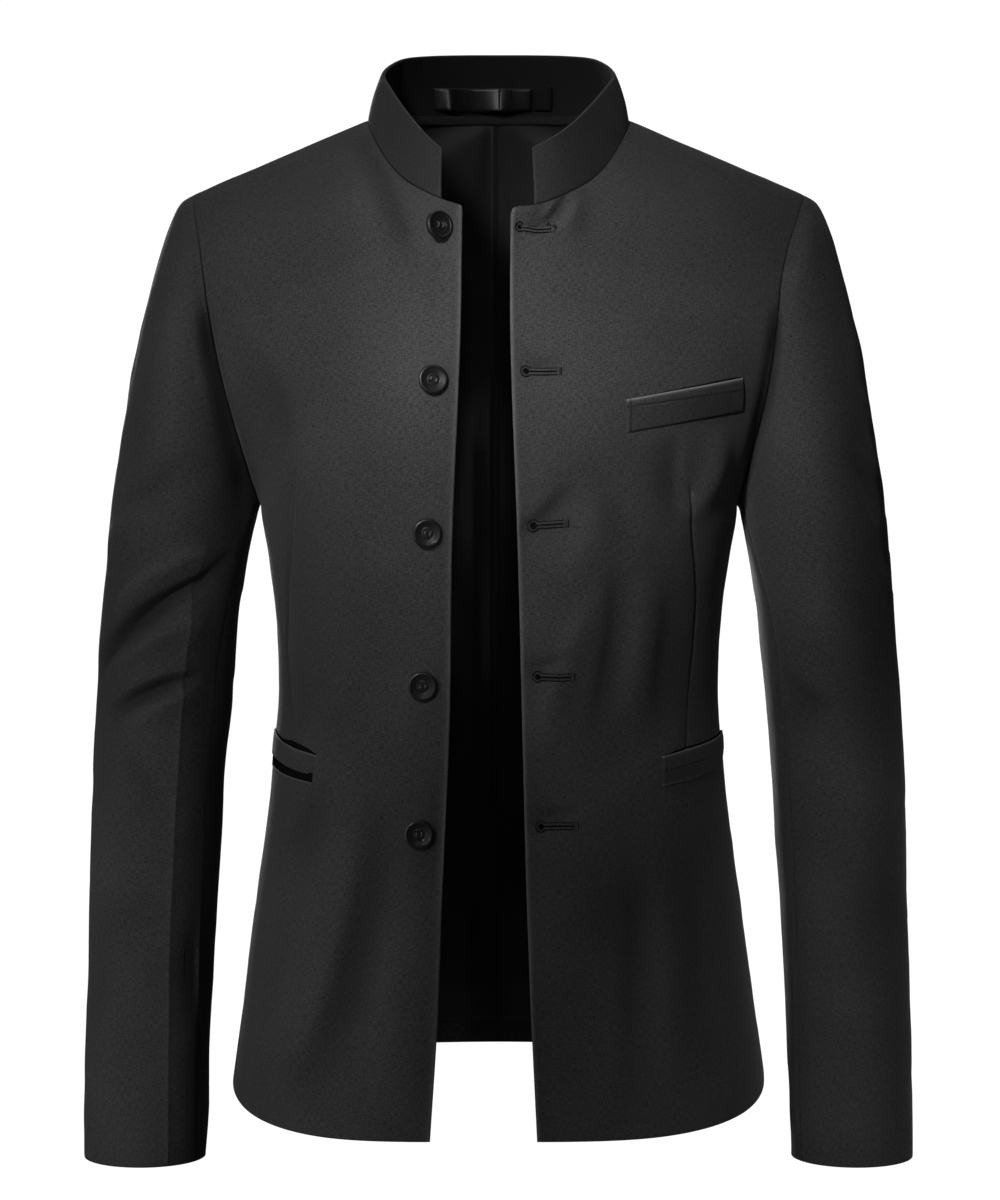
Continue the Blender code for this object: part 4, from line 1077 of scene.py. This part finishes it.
def make_lining(side, rows=170):
    parts = [np.linspace(*span) for span in LINING_SPANS]
    across = np.concatenate([parts[0]] + [part[1:] for part in parts[1:]])
    up = np.linspace(LINING_HEM, LINING_TOP, rows)
    grid, n = back_grid(side, across, up)
    x, z = grid[..., 0], grid[..., 2]
    neck_line = grid[up > 1 + NAPE_SHARE, 0]
    held = np.min(np.linalg.norm(grid[..., None, :] - neck_line, axis=-1), axis=-1)
    along, from_hem = lengths(grid, 1), lengths(grid, 0)
    held = np.minimum(np.minimum(held, from_hem), along[:, -1:] - along)
    depth = CLOTH + LINING_GAP + lining_folds(x, z, side) * np.clip(held / LINING_HELD, 0, 1)
    outer = grid - n * depth[..., None]
    inner = outer - n * LINING_WALL
    # painted highlight along the pleat's edge, in the rim mask
    strength, reach = PLEAT_HIGHLIGHT
    pressed = strength * bell(x - PLEAT_X, reach) * np.clip((z - PLEAT_HIGHLIGHT_Z) / 0.05, 0, 1)
    piece = shell("lining_" + side_name(side), outer, inner, grain(grid), {"rim": pressed}, [SATIN])
    return dress(piece, ["back_lining_" + side_name(side)])


TAPE_PAST_SEAM = 1.2          # steps of the neck that the tape runs on past each shoulder seam
TAPE_THICK = 0.0005
TAPE_SQUARE_TO = 0.4          # height on the collar, as a share, that gives its outward direction
# Height over the collar's seam and distance in from it of each row of the tape
TAPE_PROFILE = ((-0.0042, 0.0045), (-0.0028, 0.0047), (-0.0010, 0.0046), (0.0010, 0.0042),
                (0.0024, 0.0036))


def make_neck_tape(columns=160):
    """Tape that covers the collar's seam inside the neck, over the top edge of the lining."""
    end = BACK_STEP - SHOULDER_STEP + TAPE_PAST_SEAM
    step = np.linspace(-end, end, columns)
    seam = collar_points(step, 0.0)
    out = collar_points(step, TAPE_SQUARE_TO) * np.array([1, 1, 0])
    out /= np.linalg.norm(out, axis=-1, keepdims=True)
    far = np.array([seam - out * inwards + np.array([0, 0, height]) for height, inwards in TAPE_PROFILE])
    near = far + out * TAPE_THICK
    weave = np.stack([lengths(far, 1), far[..., 2]], axis=-1)
    # the tape is the darker copy of the suiting: painted shade
    piece = shell("neck_tape", near, far, weave, {}, [SHADED_NECK_CLOTH])
    return dress(piece, [])


# Strip inside the collar to hang it by, and the bare tab beside it

STRIP_THICK = 0.0008
STRIP_CLEAR = 0.0006          # least distance of a strip from the collar
STRIP_ROLL = (0.0004, 0.0003) # rounding of its borders in front and behind


def inner_strip(name, ends, top, bottom, off, finish, columns=60, rows=16):
    """Strip inside the collar. off gives how far each part of it stands away from the collar."""
    part = np.linspace(0, 1, columns)[None, :]
    down = np.linspace(0, 1, rows)[:, None]
    sag = off["sag"] * np.sin(np.pi * part) ** 0.6
    z = top + (bottom - sag - top) * down
    near, n = collar_inside(ends[0] + (ends[1] - ends[0]) * part, z)
    away = STRIP_CLEAR + off["slack"] * np.sin(np.pi * np.clip(part, 0.001, 0.999)) ** 0.6
    for place, width, height in off["bulges"]:
        away = away + height * bell(part - place, width)
    away = away * (1 - off["lean"] + 2 * off["lean"] * down)
    n = n * np.array([1, 1, 0]) / np.linalg.norm(n[..., :2], axis=-1, keepdims=True)
    border = rim_distance(near)
    face = near + n * (away + STRIP_THICK - roll(border, STRIP_ROLL[0]))[..., None]
    behind = near + n * (away + roll(border, STRIP_ROLL[1]))[..., None]
    uv = np.stack([lengths(near, 0), lengths(near, 1)], axis=-1)
    piece = shell(name, face, behind, uv, {}, [finish])
    return dress(piece, [name.replace("cloth_", "")])


def make_inner_strips():
    loop = {"sag": 0.0016, "slack": 0.0026, "lean": 0.36,
            "bulges": ((0.15, 0.075, 0.0030), (0.42, 0.12, -0.0020), (0.68, 0.13, 0.0044))}
    inner_strip("cloth_hanger_loop", (-0.0500, 0.0255), 0.0250, 0.0090, loop, LOOP_SATIN)
    tab = {"sag": 0.0, "slack": 0.0002, "lean": 0.0, "bulges": ((0.95, 0.10, 0.0007),)}
    inner_strip("cloth_size_tab", (0.0275, 0.0410), 0.0262, 0.0080, tab, TAB_CLOTH, columns=24)


# Pockets on the fronts

def between(top, bottom, part, down):
    """Places between two drawn lines: part runs along them and down from the first to the second."""
    lines = []
    for line in (top, bottom):
        line = np.array(line)
        run = np.concatenate([[0], np.cumsum(np.hypot(*np.diff(line, axis=0).T))])
        lines.append([np.interp(part, run / run[-1], line[:, k]) for k in (0, 1)])
    return [lines[0][k] * (1 - down) + lines[1][k] * down for k in (0, 1)]


LAID_LENGTH = 0.08            # middling sizes of a welt or flap, to space the close rows and columns
LAID_HEIGHT = 0.02
LAID_ROLL = 0.0009            # rounding of its borders
LAID_DROP = 0.0011            # which would bring its face down to nothing at this thickness
LAID_HIGHLIGHT_REACH = 0.0013          # reach of the painted highlight along its edges
LAID_SHADE_REACH = 0.003      # distance from its top edge over which its painted shade sets in
LAID_SUNK = 0.0004            # how far an end that comes out of the cloth starts below its face
LAID_LUMPS = ((0.00012, 0.012, 91),)
DARKEST = 1.4                 # most painted shade that a strip's face and grooves can take together


def laid_strip(name, nodes, side, top, bottom, lift, thick, lines=(), pressed=(1.0, 0.0), shade=(0, 0),
               merges=0.0, columns=100, rows=30):
    """Strip of cloth on a front between a top and a bottom line, each a row of x, z.
    lift gives its height off the cloth at evenly spaced places down it; lines are sewn or folded
    grooves, painted darker as shade, each from one part of the strip to another, measured along and
    down it in metres, with its width and depth. pressed is how strong a painted highlight is along its
    top and bottom edges, shade how much painted shade darkens its face at its first and second end,
    and merges the length over which its first end comes up out of the front's own cloth."""
    part = spaced(0, 1, columns, LAID_LENGTH)[None, :]
    down = spaced(0, 1, rows, LAID_HEIGHT)[:, None]
    x, z = between(top, bottom, part, down)
    flat, n = on_cloth(side, x, z, 0.0)
    border = rim_distance(flat)
    raised = np.interp(down, np.linspace(0, 1, len(lift)), lift)
    face = thick * (1 - roll(border, LAID_ROLL) / LAID_DROP)
    along, deep = lengths(flat, 1), lengths(flat, 0)
    # painted shade over the face, setting in below the top edge; the grooves add more
    painted_shade = (shade[0] + (shade[1] - shade[0]) * part) * np.clip(deep / LAID_SHADE_REACH, 0, 1)
    for begin, end, width, depth in lines:
        groove = line_relief((begin, end), along, deep, width)
        face = face - depth * groove
        painted_shade = painted_shade + groove
    face += lumps(LAID_LUMPS, x, z)
    if merges:
        part_out = np.clip(along / merges, 0, 1)
        raised = raised * part_out
        face = face * part_out ** 0.5 - LAID_SUNK * (1 - part_out)
    outer = flat + n * (raised + face)[..., None]
    inner = flat + n * (raised * np.ones_like(face))[..., None]
    low = deep[-1:] - deep
    # painted highlight along the top and bottom edges
    rim = pressed[0] * bell(deep, LAID_HIGHLIGHT_REACH) + pressed[1] * bell(low, LAID_HIGHLIGHT_REACH)
    masks = {"rim": rim, "painted_shade": np.clip(painted_shade, 0, DARKEST)}
    piece = shell(name, outer, inner, grain(flat), masks, [CHARCOAL])
    return dress(piece, nodes)


SLIVER_THICK = 0.0003         # thickness of a sliver of shade, and its height off the cloth


def dark_sliver(name, side, top, bottom):
    """Shade in a pocket's mouth, between two lines on a front."""
    part, down = np.linspace(0, 1, 50)[None, :], np.linspace(0, 1, 8)[:, None]
    flat, n = on_cloth(side, *between(top, bottom, part, down), SLIVER_THICK)
    piece = shell(name, flat + n * SLIVER_THICK, flat, grain(flat), {}, [BLACK_GAP])
    return dress(piece, [])


WELT_TOP = ((0.0907, -0.2046), (0.1756, -0.1897))
WELT_BOTTOM = ((0.0911, -0.2280), (0.1757, -0.2136))
WELT_SHADE = ((0.0950, -0.2038), (0.1200, -0.1988), (0.1500, -0.1930), (0.1700, -0.1894),
              (0.1750, -0.1893))
WELT_SHADE_END = ((0.0950, -0.2039), (0.1750, -0.1898))


def make_breast_welt():
    lines = (
        ((0.0000, 0.0056), (0.1000, 0.0088), 0.00055, 0.00080),
        ((0.0030, 0.0000), (0.0030, 0.0250), 0.00045, 0.00060),
        ((0.0868, 0.0080), (0.0868, 0.0250), 0.00045, 0.00060),
    )
    lift = (0.0002, 0.0014, 0.0008, 0.0001)
    dark_sliver("welt_shade", LEFT, WELT_SHADE, WELT_SHADE_END)
    # its top edge gets a strong painted highlight, and its face painted shade growing towards its far
    # end
    laid_strip("cloth_breast_welt", ["breast_welt"], LEFT, WELT_TOP, WELT_BOTTOM, lift, 0.0015, lines,
               (3.0, 0.0), (0.35, 0.95))


FLAP_RIGHT_TOP = ((-0.1300, -0.4604), (-0.1390, -0.4588), (-0.1480, -0.4577), (-0.1569, -0.4552),
                  (-0.1650, -0.4500))
FLAP_RIGHT_GAP = ((-0.1297, -0.4598), (-0.1357, -0.4564), (-0.1424, -0.4541), (-0.1492, -0.4527),
                  (-0.1565, -0.4530), (-0.1645, -0.4490))
FLAP_RIGHT_BOTTOM = ((-0.1322, -0.4749), (-0.1411, -0.4740), (-0.1525, -0.4716), (-0.1645, -0.4674))
SLOT_TOP = ((-0.1326, -0.4735), (-0.1411, -0.4725), (-0.1525, -0.4700), (-0.1658, -0.4655))
SLOT_BOTTOM = ((-0.1335, -0.4803), (-0.1468, -0.4790), (-0.1572, -0.4774), (-0.1660, -0.4748))
LIP_BOTTOM = ((-0.1335, -0.4822), (-0.1468, -0.4809), (-0.1572, -0.4793), (-0.1660, -0.4767))
FLAP_LEFT_TOP = ((0.1150, -0.4602), (0.1371, -0.4565), (0.1591, -0.4533), (0.1652, -0.4515))
FLAP_LEFT_GAP = ((0.1160, -0.4598), (0.1260, -0.4568), (0.1371, -0.4548), (0.1500, -0.4536),
                 (0.1652, -0.4507))
FLAP_LEFT_BOTTOM = ((0.1150, -0.4816), (0.1349, -0.4796), (0.1459, -0.4772), (0.1625, -0.4738))


def make_hip_pockets():
    lines = (
        ((0.0000, 0.0105), (0.0560, 0.0125), 0.00060, 0.00080),
        ((0.0030, 0.0000), (0.0030, 0.0230), 0.00045, 0.00060),
    )
    dark_sliver("pocket_gap_left", LEFT, FLAP_LEFT_GAP, FLAP_LEFT_TOP)
    # painted highlights along both its edges, and light painted shade on its face
    laid_strip("cloth_hip_flap_left", ["hip_flap_left"], LEFT, FLAP_LEFT_TOP, FLAP_LEFT_BOTTOM,
               (0.0003, 0.0010, 0.0002), 0.0014, lines, (1.6, 1.4), (0.1, 0.2))
    dark_sliver("pocket_gap_right", RIGHT, FLAP_RIGHT_GAP, FLAP_RIGHT_TOP)
    # its top edge gets the default painted highlight
    laid_strip("cloth_hip_flap_right", ["hip_flap_right"], RIGHT, FLAP_RIGHT_TOP, FLAP_RIGHT_BOTTOM,
               (0.0003, 0.0005, 0.0009), 0.0011, merges=0.018)
    dark_sliver("pocket_mouth", RIGHT, SLOT_TOP, SLOT_BOTTOM)
    laid_strip("cloth_pocket_lip", [], RIGHT, SLOT_BOTTOM, LIP_BOTTOM, (0.0002, 0.0), 0.0008, rows=8)


# Buttonholes: a slot with an eye, a ring of stitches round it and a bar at its far end

HOLES = (
    ((0.0138, -0.0822), (0.0387, -0.0836), 0.0012, 0.0016),
    ((0.0173, -0.1842), (0.0427, -0.1843), 0.0003, 0.0021),
    ((0.0223, -0.2936), (0.0477, -0.2918), 0.0000, 0.0025),
    ((0.0259, -0.4006), (0.0521, -0.4009), 0.0002, 0.0020),
    ((0.0281, -0.5071), (0.0543, -0.5068), -0.0002, 0.0021),
)
HOLE_COLUMNS = ("from", "to", "sag", "eye")
SLOT_HALF = 0.00055           # half the height of the slot between its stitches
STITCH_LENGTH = 0.0015
STITCH_STEP = 0.00062
STITCH_IN = 0.00010           # gap between the slot and the stitches
STITCH_UNEVEN = 0.0002        # how much the stitches differ in length
STITCH_WANDER = 7e-5          # and in place
STITCH_PARTS = (0, 0.25, 0.6, 1.0)     # places along a stitch, and its height off the cloth there
STITCH_HEIGHTS = (0.0004, 0.0008, 0.0007, 0.0002)
BAR_WIDTH = 0.0016            # room for the bar at the far end
BAR_THREADS = np.linspace(-0.0023, 0.0023, 8)      # heights of its threads
BAR_PARTS = (-0.0014, -0.0006, 0.0006, 0.0014)     # places along them, and their height there
BAR_HEIGHTS = (0.0003, 0.0009, 0.0009, 0.0003)
STITCH_SHADE_REACH = 0.0022           # reach of the painted shade round the stitches, out from the slot
STITCH_SHADE_LIFT = 0.00015           # height off the cloth of the painted shade round the stitches, and of the shade in the slot
SLOT_LIFT = 0.00055
SLOT_ENDS = (0.0002, 0.0014)  # how far the slot stops short of either end of a buttonhole
SLOT_LEAST = 0.00005          # half its height where it runs out to a point
STITCH_SHADE_PAST_BAR = 1.6           # how far the painted shade round the stitches runs on past the bar, in times its reach
SHADE_THICK = 0.0002
THREAD = 0.00021              # radius of the buttonhole thread
THREAD_TIP = 0.5              # share of its radius that is left at its ends
ASKEW = (0.31, 0.87, 0.38)    # a direction that no thread follows, to turn its sides by
EYE_STITCHES = 5.6            # stitches round an eye, times its radius over their step
EYE_ROOM = 2.3                # where the straight stitches begin, in radii of the eye
LOOSE_THREAD = 0.00013        # radius of the loose end at the third buttonhole, and its start
LOOSE_FROM = (0.0292, -0.2955)
LOOSE_DROP = 0.0090           # how far it hangs down


def threads(name, spans, radius, finish, slot, sides=6):
    """Short threads, each through its own row of points, thinner at both ends."""
    verts, faces = [], []
    for line in spans:
        line = np.asarray(line, float)
        way = np.gradient(line, axis=0)
        way /= np.linalg.norm(way, axis=1, keepdims=True)
        side_way = np.cross(way, ASKEW)
        side_way /= np.linalg.norm(side_way, axis=1, keepdims=True)
        other = np.cross(way, side_way)
        first = len(verts)
        for k, centre in enumerate(line):
            thick = radius * (THREAD_TIP if k in (0, len(line) - 1) else 1.0)
            for j in range(sides):
                a = math.tau * j / sides
                verts.append(centre + thick * (math.cos(a) * side_way[k] + math.sin(a) * other[k]))
        for k in range(len(line) - 1):
            for j in range(sides):
                a, b = first + k * sides + j, first + k * sides + (j + 1) % sides
                faces.append((a, b, b + sides, a + sides))
        faces.append([first + j for j in range(sides)][::-1])
        faces.append([first + (len(line) - 1) * sides + j for j in range(sides)])
    mesh = bpy.data.meshes.new(name)
    mesh.from_pydata(verts, [], faces)
    mesh.shade_smooth()
    mesh.materials.append(finish)
    return dress(add_object(name, mesh), [])


def hole_frame(hole):
    """Maps places along and above a buttonhole to x, z on the front."""
    (x0, z0), (x1, z1) = hole["from"], hole["to"]
    length = math.hypot(x1 - x0, z1 - z0)
    cos, sin = (x1 - x0) / length, (z1 - z0) / length

    def place(a, b):
        b = b - hole["sag"] * np.sin(np.pi * np.clip(a / length, 0, 1))
        return x0 + a * cos - b * sin, z0 + a * sin + b * cos
    return place, length


def hole_outline(hole, length):
    """Points round the slot and its eye, with their outward directions, evenly spaced."""
    eye, half = hole["eye"], SLOT_HALF
    bar = length - BAR_WIDTH
    turn = math.asin(half / eye)
    angles = np.linspace(turn, math.tau - turn, max(8, int(EYE_STITCHES * eye / STITCH_STEP)))
    ring = np.stack([eye + eye * np.cos(angles), eye * np.sin(angles)], axis=-1)
    ring_way = np.stack([np.cos(angles), np.sin(angles)], axis=-1)
    a = np.arange(eye * EYE_ROOM, bar, STITCH_STEP)
    above = np.stack([a, np.full_like(a, half)], axis=-1)
    below = above * np.array([1, -1])
    way = np.tile([0.0, 1.0], (len(a), 1))
    return np.concatenate([above[::-1], ring, below]), np.concatenate([way, ring_way, -way])


def make_buttonholes():
    spans, slits = [], []
    rng = np.random.default_rng(5)
    for values in HOLES:
        hole = dict(zip(HOLE_COLUMNS, values))
        place, length = hole_frame(hole)
        at, way = hole_outline(hole, length)
        inner = at + way * STITCH_IN
        outer = at + way * (STITCH_LENGTH + rng.uniform(-STITCH_UNEVEN, STITCH_UNEVEN, (len(at), 1)))
        stitch = inner[:, None] + (outer - inner)[:, None] * np.array(STITCH_PARTS)[None, :, None]
        stitch = stitch + rng.uniform(-STITCH_WANDER, STITCH_WANDER, (len(at), 1, 2))
        on, n = on_cloth(LEFT, *place(stitch[..., 0], stitch[..., 1]), 0.0)
        spans += list(on + n * np.array(STITCH_HEIGHTS)[:, None])
        rungs, steps = np.meshgrid(BAR_THREADS, BAR_PARTS, indexing="ij")
        on, n = on_cloth(LEFT, *place(length + steps, rungs), 0.0)
        spans += list(on + n * np.array(BAR_HEIGHTS)[:, None])
        slits.append(slit_grid(hole, place, length, 0.0, SLOT_LIFT, BLACK_GAP))
        # wider sheet under the stitches: painted shade round them
        slits.append(slit_grid(hole, place, length, STITCH_SHADE_REACH, STITCH_SHADE_LIFT, PAINTED_STITCH_SHADE))
    threads("buttonhole_stitches", spans, THREAD, THREAD_GREY, "suiting")
    for number, (outer, inner, finish) in enumerate(slits, 1):
        piece = shell(f"buttonhole_shade_{number}", outer, inner, outer[..., [0, 2]], {}, [finish])
        dress(piece, [])


def make_loose_thread():
    """Loose end of thread that hangs in a slight curve from the third buttonhole."""
    a = np.linspace(0, 1, 14)
    x = LOOSE_FROM[0] + 0.0014 * np.sin(2.6 * a) - 0.0042 * a ** 2
    z = LOOSE_FROM[1] - LOOSE_DROP * a
    on, n = on_cloth(LEFT, x, z, 0.0004)
    line = on + n * (0.0007 * np.sin(np.pi * a))[:, None]
    threads("loose_thread", [line], LOOSE_THREAD, THREAD_GREY, "suiting")


def slit_grid(hole, place, length, spread, lift, finish):
    """Thin strip of painted shade above the cloth: the slot and eye, widened by spread all round."""
    a = np.linspace(SLOT_ENDS[0] - spread, length - SLOT_ENDS[1] + STITCH_SHADE_PAST_BAR * spread, 80)
    eye = hole["eye"]
    round_eye = np.sqrt(np.clip((eye + spread) ** 2 - (a - eye) ** 2, 0, None))
    rest = np.where(a > eye, SLOT_HALF + spread, 0.0)
    half = np.maximum(np.maximum(round_eye, rest), SLOT_LEAST)
    b = np.linspace(-1, 1, 7)[:, None] * half[None, :]
    flat, n = on_cloth(LEFT, *place(np.broadcast_to(a, b.shape), b), lift)
    return flat + n * SHADE_THICK, flat, finish


# Buttons

BUTTONS = ((0.0400, -0.0834), (0.0454, -0.1905), (0.0500, -0.2983), (0.0534, -0.4070),
           (0.0563, -0.5126))
BUTTON_RADIUS = 0.0105
BUTTON_THICK = 0.0022         # of the plain disc and its dish; the ring stands above it
BUTTON_SEAT = 0.0022          # underside above the cloth, on its thread
BUTTON_TURNS = (46, 20, 12, 10, 10)    # degrees about the vertical, as each hangs on its thread
BUTTON_ROLLS = (5, -17, -8, 2, 5)      # degrees about its own axis
BUTTON_LIFT = 0.0080          # further out for one that is turned on edge
HOLE_OFFSET = 0.0027          # distance of a sewing hole from the middle
HOLE_RADIUS = 0.00095
HOLE_TURNS = (45, 135, 225, 315)
DRILL_LENGTH = 0.01
SHARP_EDGE = 35               # degrees from which an edge of a button is shaded as sharp
# Each step in from the edge of the top, and how far the face rises there: up to a round ring, down
# a small step to a gentle slope, and down another to the dish
RIM_STEPS = ((0.0005, 0.0006), (0.0007, 0.0003), (0.0009, 0.0000), (0.0004, -0.0008),
             (0.0030, -0.0002), (0.0003, -0.0004), (0.0003, 0.0001))
BUTTON_BEVEL = 0.00035
BUTTON_THREAD = 0.00026       # radius of its thread
THREAD_SLIPS = (-0.0003, 0.0, 0.0003)      # three threads lie side by side over each pair of holes
# Each of them from hole to hole: share of the way to the hole, and height over the face
THREAD_PASS = ((-0.75, -0.0012), (-0.62, 0.0002), (0, 0.0004), (0.62, 0.0002), (0.75, -0.0012))
# The wound shank under the button: its radius at each height
SHANK = ((0.0011, 0.0006), (0.0009, -0.0010), (0.0016, -BUTTON_SEAT))


def make_button():
    """One button on its back at the origin: a turned disc, hollowed, with a rim and four holes."""
    disc = BUTTON_THICK - sum(rise for inset, rise in RIM_STEPS)
    bpy.ops.mesh.primitive_cylinder_add(vertices=64, radius=BUTTON_RADIUS, depth=disc,
                                        location=(0, 0, disc / 2))
    button = bpy.context.object
    bpy.ops.object.mode_set(mode="EDIT")
    bpy.ops.mesh.select_mode(type="FACE")
    bpy.ops.mesh.select_all(action="DESELECT")
    mesh = bmesh.from_edit_mesh(button.data)
    top = max(mesh.faces, key=lambda face: face.calc_center_median().z)
    top.select_set(True)
    bmesh.update_edit_mesh(button.data)
    for inset, rise in RIM_STEPS:
        bpy.ops.mesh.inset(thickness=inset)
        bpy.ops.transform.translate(value=(0, 0, rise))
    bpy.ops.object.mode_set(mode="OBJECT")
    bevel = button.modifiers.new("edges", "BEVEL")
    bevel.width = BUTTON_BEVEL
    bevel.segments = 3
    bevel.limit_method = "ANGLE"
    bpy.ops.object.modifier_apply(modifier="edges")
    for turn in HOLE_TURNS:
        a = math.radians(turn)
        place = (HOLE_OFFSET * math.cos(a), HOLE_OFFSET * math.sin(a), BUTTON_THICK / 2)
        bpy.ops.mesh.primitive_cylinder_add(vertices=16, radius=HOLE_RADIUS, depth=DRILL_LENGTH,
                                            location=place)
        drill = bpy.context.object
        cut = button.modifiers.new("hole", "BOOLEAN")
        cut.operation = "DIFFERENCE"
        cut.object = drill
        cut.solver = "EXACT"
        bpy.context.view_layer.objects.active = button
        bpy.ops.object.modifier_apply(modifier="hole")
        bpy.data.objects.remove(drill)
    bpy.ops.object.select_all(action="DESELECT")
    button.select_set(True)
    bpy.ops.object.shade_smooth_by_angle(angle=math.radians(SHARP_EDGE))
    button.data.materials.append(RESIN)
    return button


def button_frame(number):
    """Where a button sits: its seat on the cloth, turned as it hangs."""
    x, z = BUTTONS[number]
    seat, n = on_cloth(RIGHT, -x, z, BUTTON_SEAT)
    facing = Vector(n).to_track_quat("Z", "Y").to_matrix().to_4x4()
    hung = Matrix.Rotation(math.radians(BUTTON_TURNS[number]), 4, "Y")
    rolled = Matrix.Rotation(math.radians(BUTTON_ROLLS[number]), 4, "Z")
    tilt = math.sin(math.radians(BUTTON_TURNS[number]))
    lift = Matrix.Translation(Vector(n) * BUTTON_LIFT * tilt ** 2)
    return lift @ Matrix.Translation(Vector(seat)) @ facing @ hung @ rolled


def button_threads():
    """Threads of one button: those over its two pairs of holes and the wound shank under it."""
    reach = HOLE_OFFSET * math.cos(math.radians(HOLE_TURNS[0]))
    spans = [[(x + slip, reach * share, BUTTON_THICK + height) for share, height in THREAD_PASS]
             for x in (-reach, reach) for slip in THREAD_SLIPS]
    for turn in range(0, 360, 45):
        a = math.radians(turn)
        spans.append([(wide * math.cos(a), wide * math.sin(a), height) for wide, height in SHANK])
    return spans


def make_buttons():
    first = make_button()
    form = first.data
    for number in range(len(BUTTONS)):
        frame_here = button_frame(number)
        mesh = form.copy()
        mesh.transform(frame_here)
        dress(add_object(f"resin_button_{number + 1}", mesh), [f"button_{number + 1}"])
        spans = [[frame_here @ Vector(p) for p in line] for line in button_threads()]
        threads(f"button_thread_{number + 1}", spans, BUTTON_THREAD, THREAD_LIGHT, "button")
    bpy.data.objects.remove(first)


for side in (RIGHT, LEFT):
    make_front(side)
    make_back(side)
    make_sleeve(side, "top", 84)
    make_sleeve(side, "under", 34)
    make_lining(side)
make_collar()
make_neck_tape()
make_inner_strips()
make_breast_welt()
make_hip_pockets()
make_buttonholes()
make_loose_thread()
make_buttons()


# Camera at the photograph's angle, 3 m in front of the jacket

CAMERA_AT = (0.0011, -3.0, -0.153)
CAMERA_DOWN = 3.84            # degrees
FRAME_FOCAL = 4074 / 1200     # focal length as a share of the frame's longer side
SENSOR = 36.0

camera = bpy.data.cameras.new("camera")
camera.sensor_width = SENSOR
camera.lens = FRAME_FOCAL * SENSOR
camera.clip_end = 100
camera_object = add_object("camera", camera)
camera_object.location = CAMERA_AT
camera_object.rotation_euler = (math.radians(90 - CAMERA_DOWN), 0, 0)
bpy.context.scene.camera = camera_object

# Floor, world and lights

FLOOR_Z = -1.45
FLOOR_RADIUS = 2


def make_floor():
    bpy.ops.mesh.primitive_circle_add(vertices=96, radius=FLOOR_RADIUS, fill_type="NGON",
                                      location=(0, 0, FLOOR_Z))
    floor = bpy.context.object
    floor.name = "floor"
    made, tree, shader = new_material("pale floor")
    set_sockets(shader, {"Base Color": colour("#d8d8d8"), "Roughness": 0.9})
    floor.data.materials.append(made)


def aimed(name, data, place, target, power):
    """Puts a lamp in its place, turned to its target, with its power in watts."""
    data.energy = power
    made = add_object(name, data)
    made.location = place
    made.rotation_euler = (Vector(target) - Vector(place)).to_track_quat("-Z", "Y").to_euler()


def area_light(name, place, target, size, power):
    data = bpy.data.lights.new(name, "AREA")
    data.shape = "RECTANGLE"
    data.size, data.size_y = size
    aimed(name, data, place, target, power)


def spot_light(name, place, target, half_angle, power, radius=0.25):
    """Wide soft-edged lamp that fades to nothing at half_angle degrees off its axis."""
    data = bpy.data.lights.new(name, "SPOT")
    data.spot_size = math.radians(2 * half_angle)
    data.spot_blend = 1.0
    data.shadow_soft_size = radius
    aimed(name, data, place, target, power)


def make_world():
    world = bpy.data.worlds.new("studio")
    bpy.context.scene.world = world
    world.use_nodes = True
    tree = world.node_tree
    tree.nodes.clear()
    seen = node(tree, "Background", {}, {"Color": (1, 1, 1, 1), "Strength": 1.05})
    lit = node(tree, "Background", {}, {"Color": (1, 1, 1, 1), "Strength": 0.02})
    path = node(tree, "LightPath")
    mix = node(tree, "MixShader", {}, {},
               {0: path.outputs["Is Camera Ray"], 1: lit.outputs[0], 2: seen.outputs[0]})
    node(tree, "OutputWorld", {}, {}, {"Surface": mix.outputs[0]})


make_floor()
make_world()
UPPER_LEFT = (-0.8, -2.2, 0.9)         # where the lamps stand that light the chest, and the right arm
FRONT_RIGHT = (0.6, -2.2, 0.2)
spot_light("left chest", UPPER_LEFT, (-0.09, -0.10, -0.21), 5.5, 270)
spot_light("right chest", UPPER_LEFT, (0.070, -0.09, -0.12), 4.7, 300)
spot_light("right breast", UPPER_LEFT, (0.065, -0.10, -0.16), 3.8, 190, 0.08)
spot_light("left sleeve", (-1.3, -1.8, 0.0), (-0.28, -0.05, -0.70), 4.3, 380)
spot_light("right sleeve", FRONT_RIGHT, (0.30, -0.03, -0.62), 4.5, 70)
spot_light("right cuff", FRONT_RIGHT, (0.31, -0.04, -0.71), 3.3, 460)
spot_light("lining", (0.0, -2.8, 0.40), (-0.007, 0.1, -0.20), 3.2, 120)
spot_light("back", (-0.7, 2.7, 0.1), (0.0, 0.1, -0.35), 9.5, 300)
area_light("overhead", (0.0, 0.1, 1.6), (0.0, 0.0, 0.0), (1.4, 1.0), 5)
area_light("left", (-1.1, -0.7, 0.2), (-0.05, -0.1, -0.3), (0.5, 0.7), 1.9)
area_light("low left", (-1.3, -1.6, -0.6), (-0.15, -0.1, -0.5), (0.8, 0.8), 4.6)
bpy.context.scene.view_settings.view_transform = "Standard"
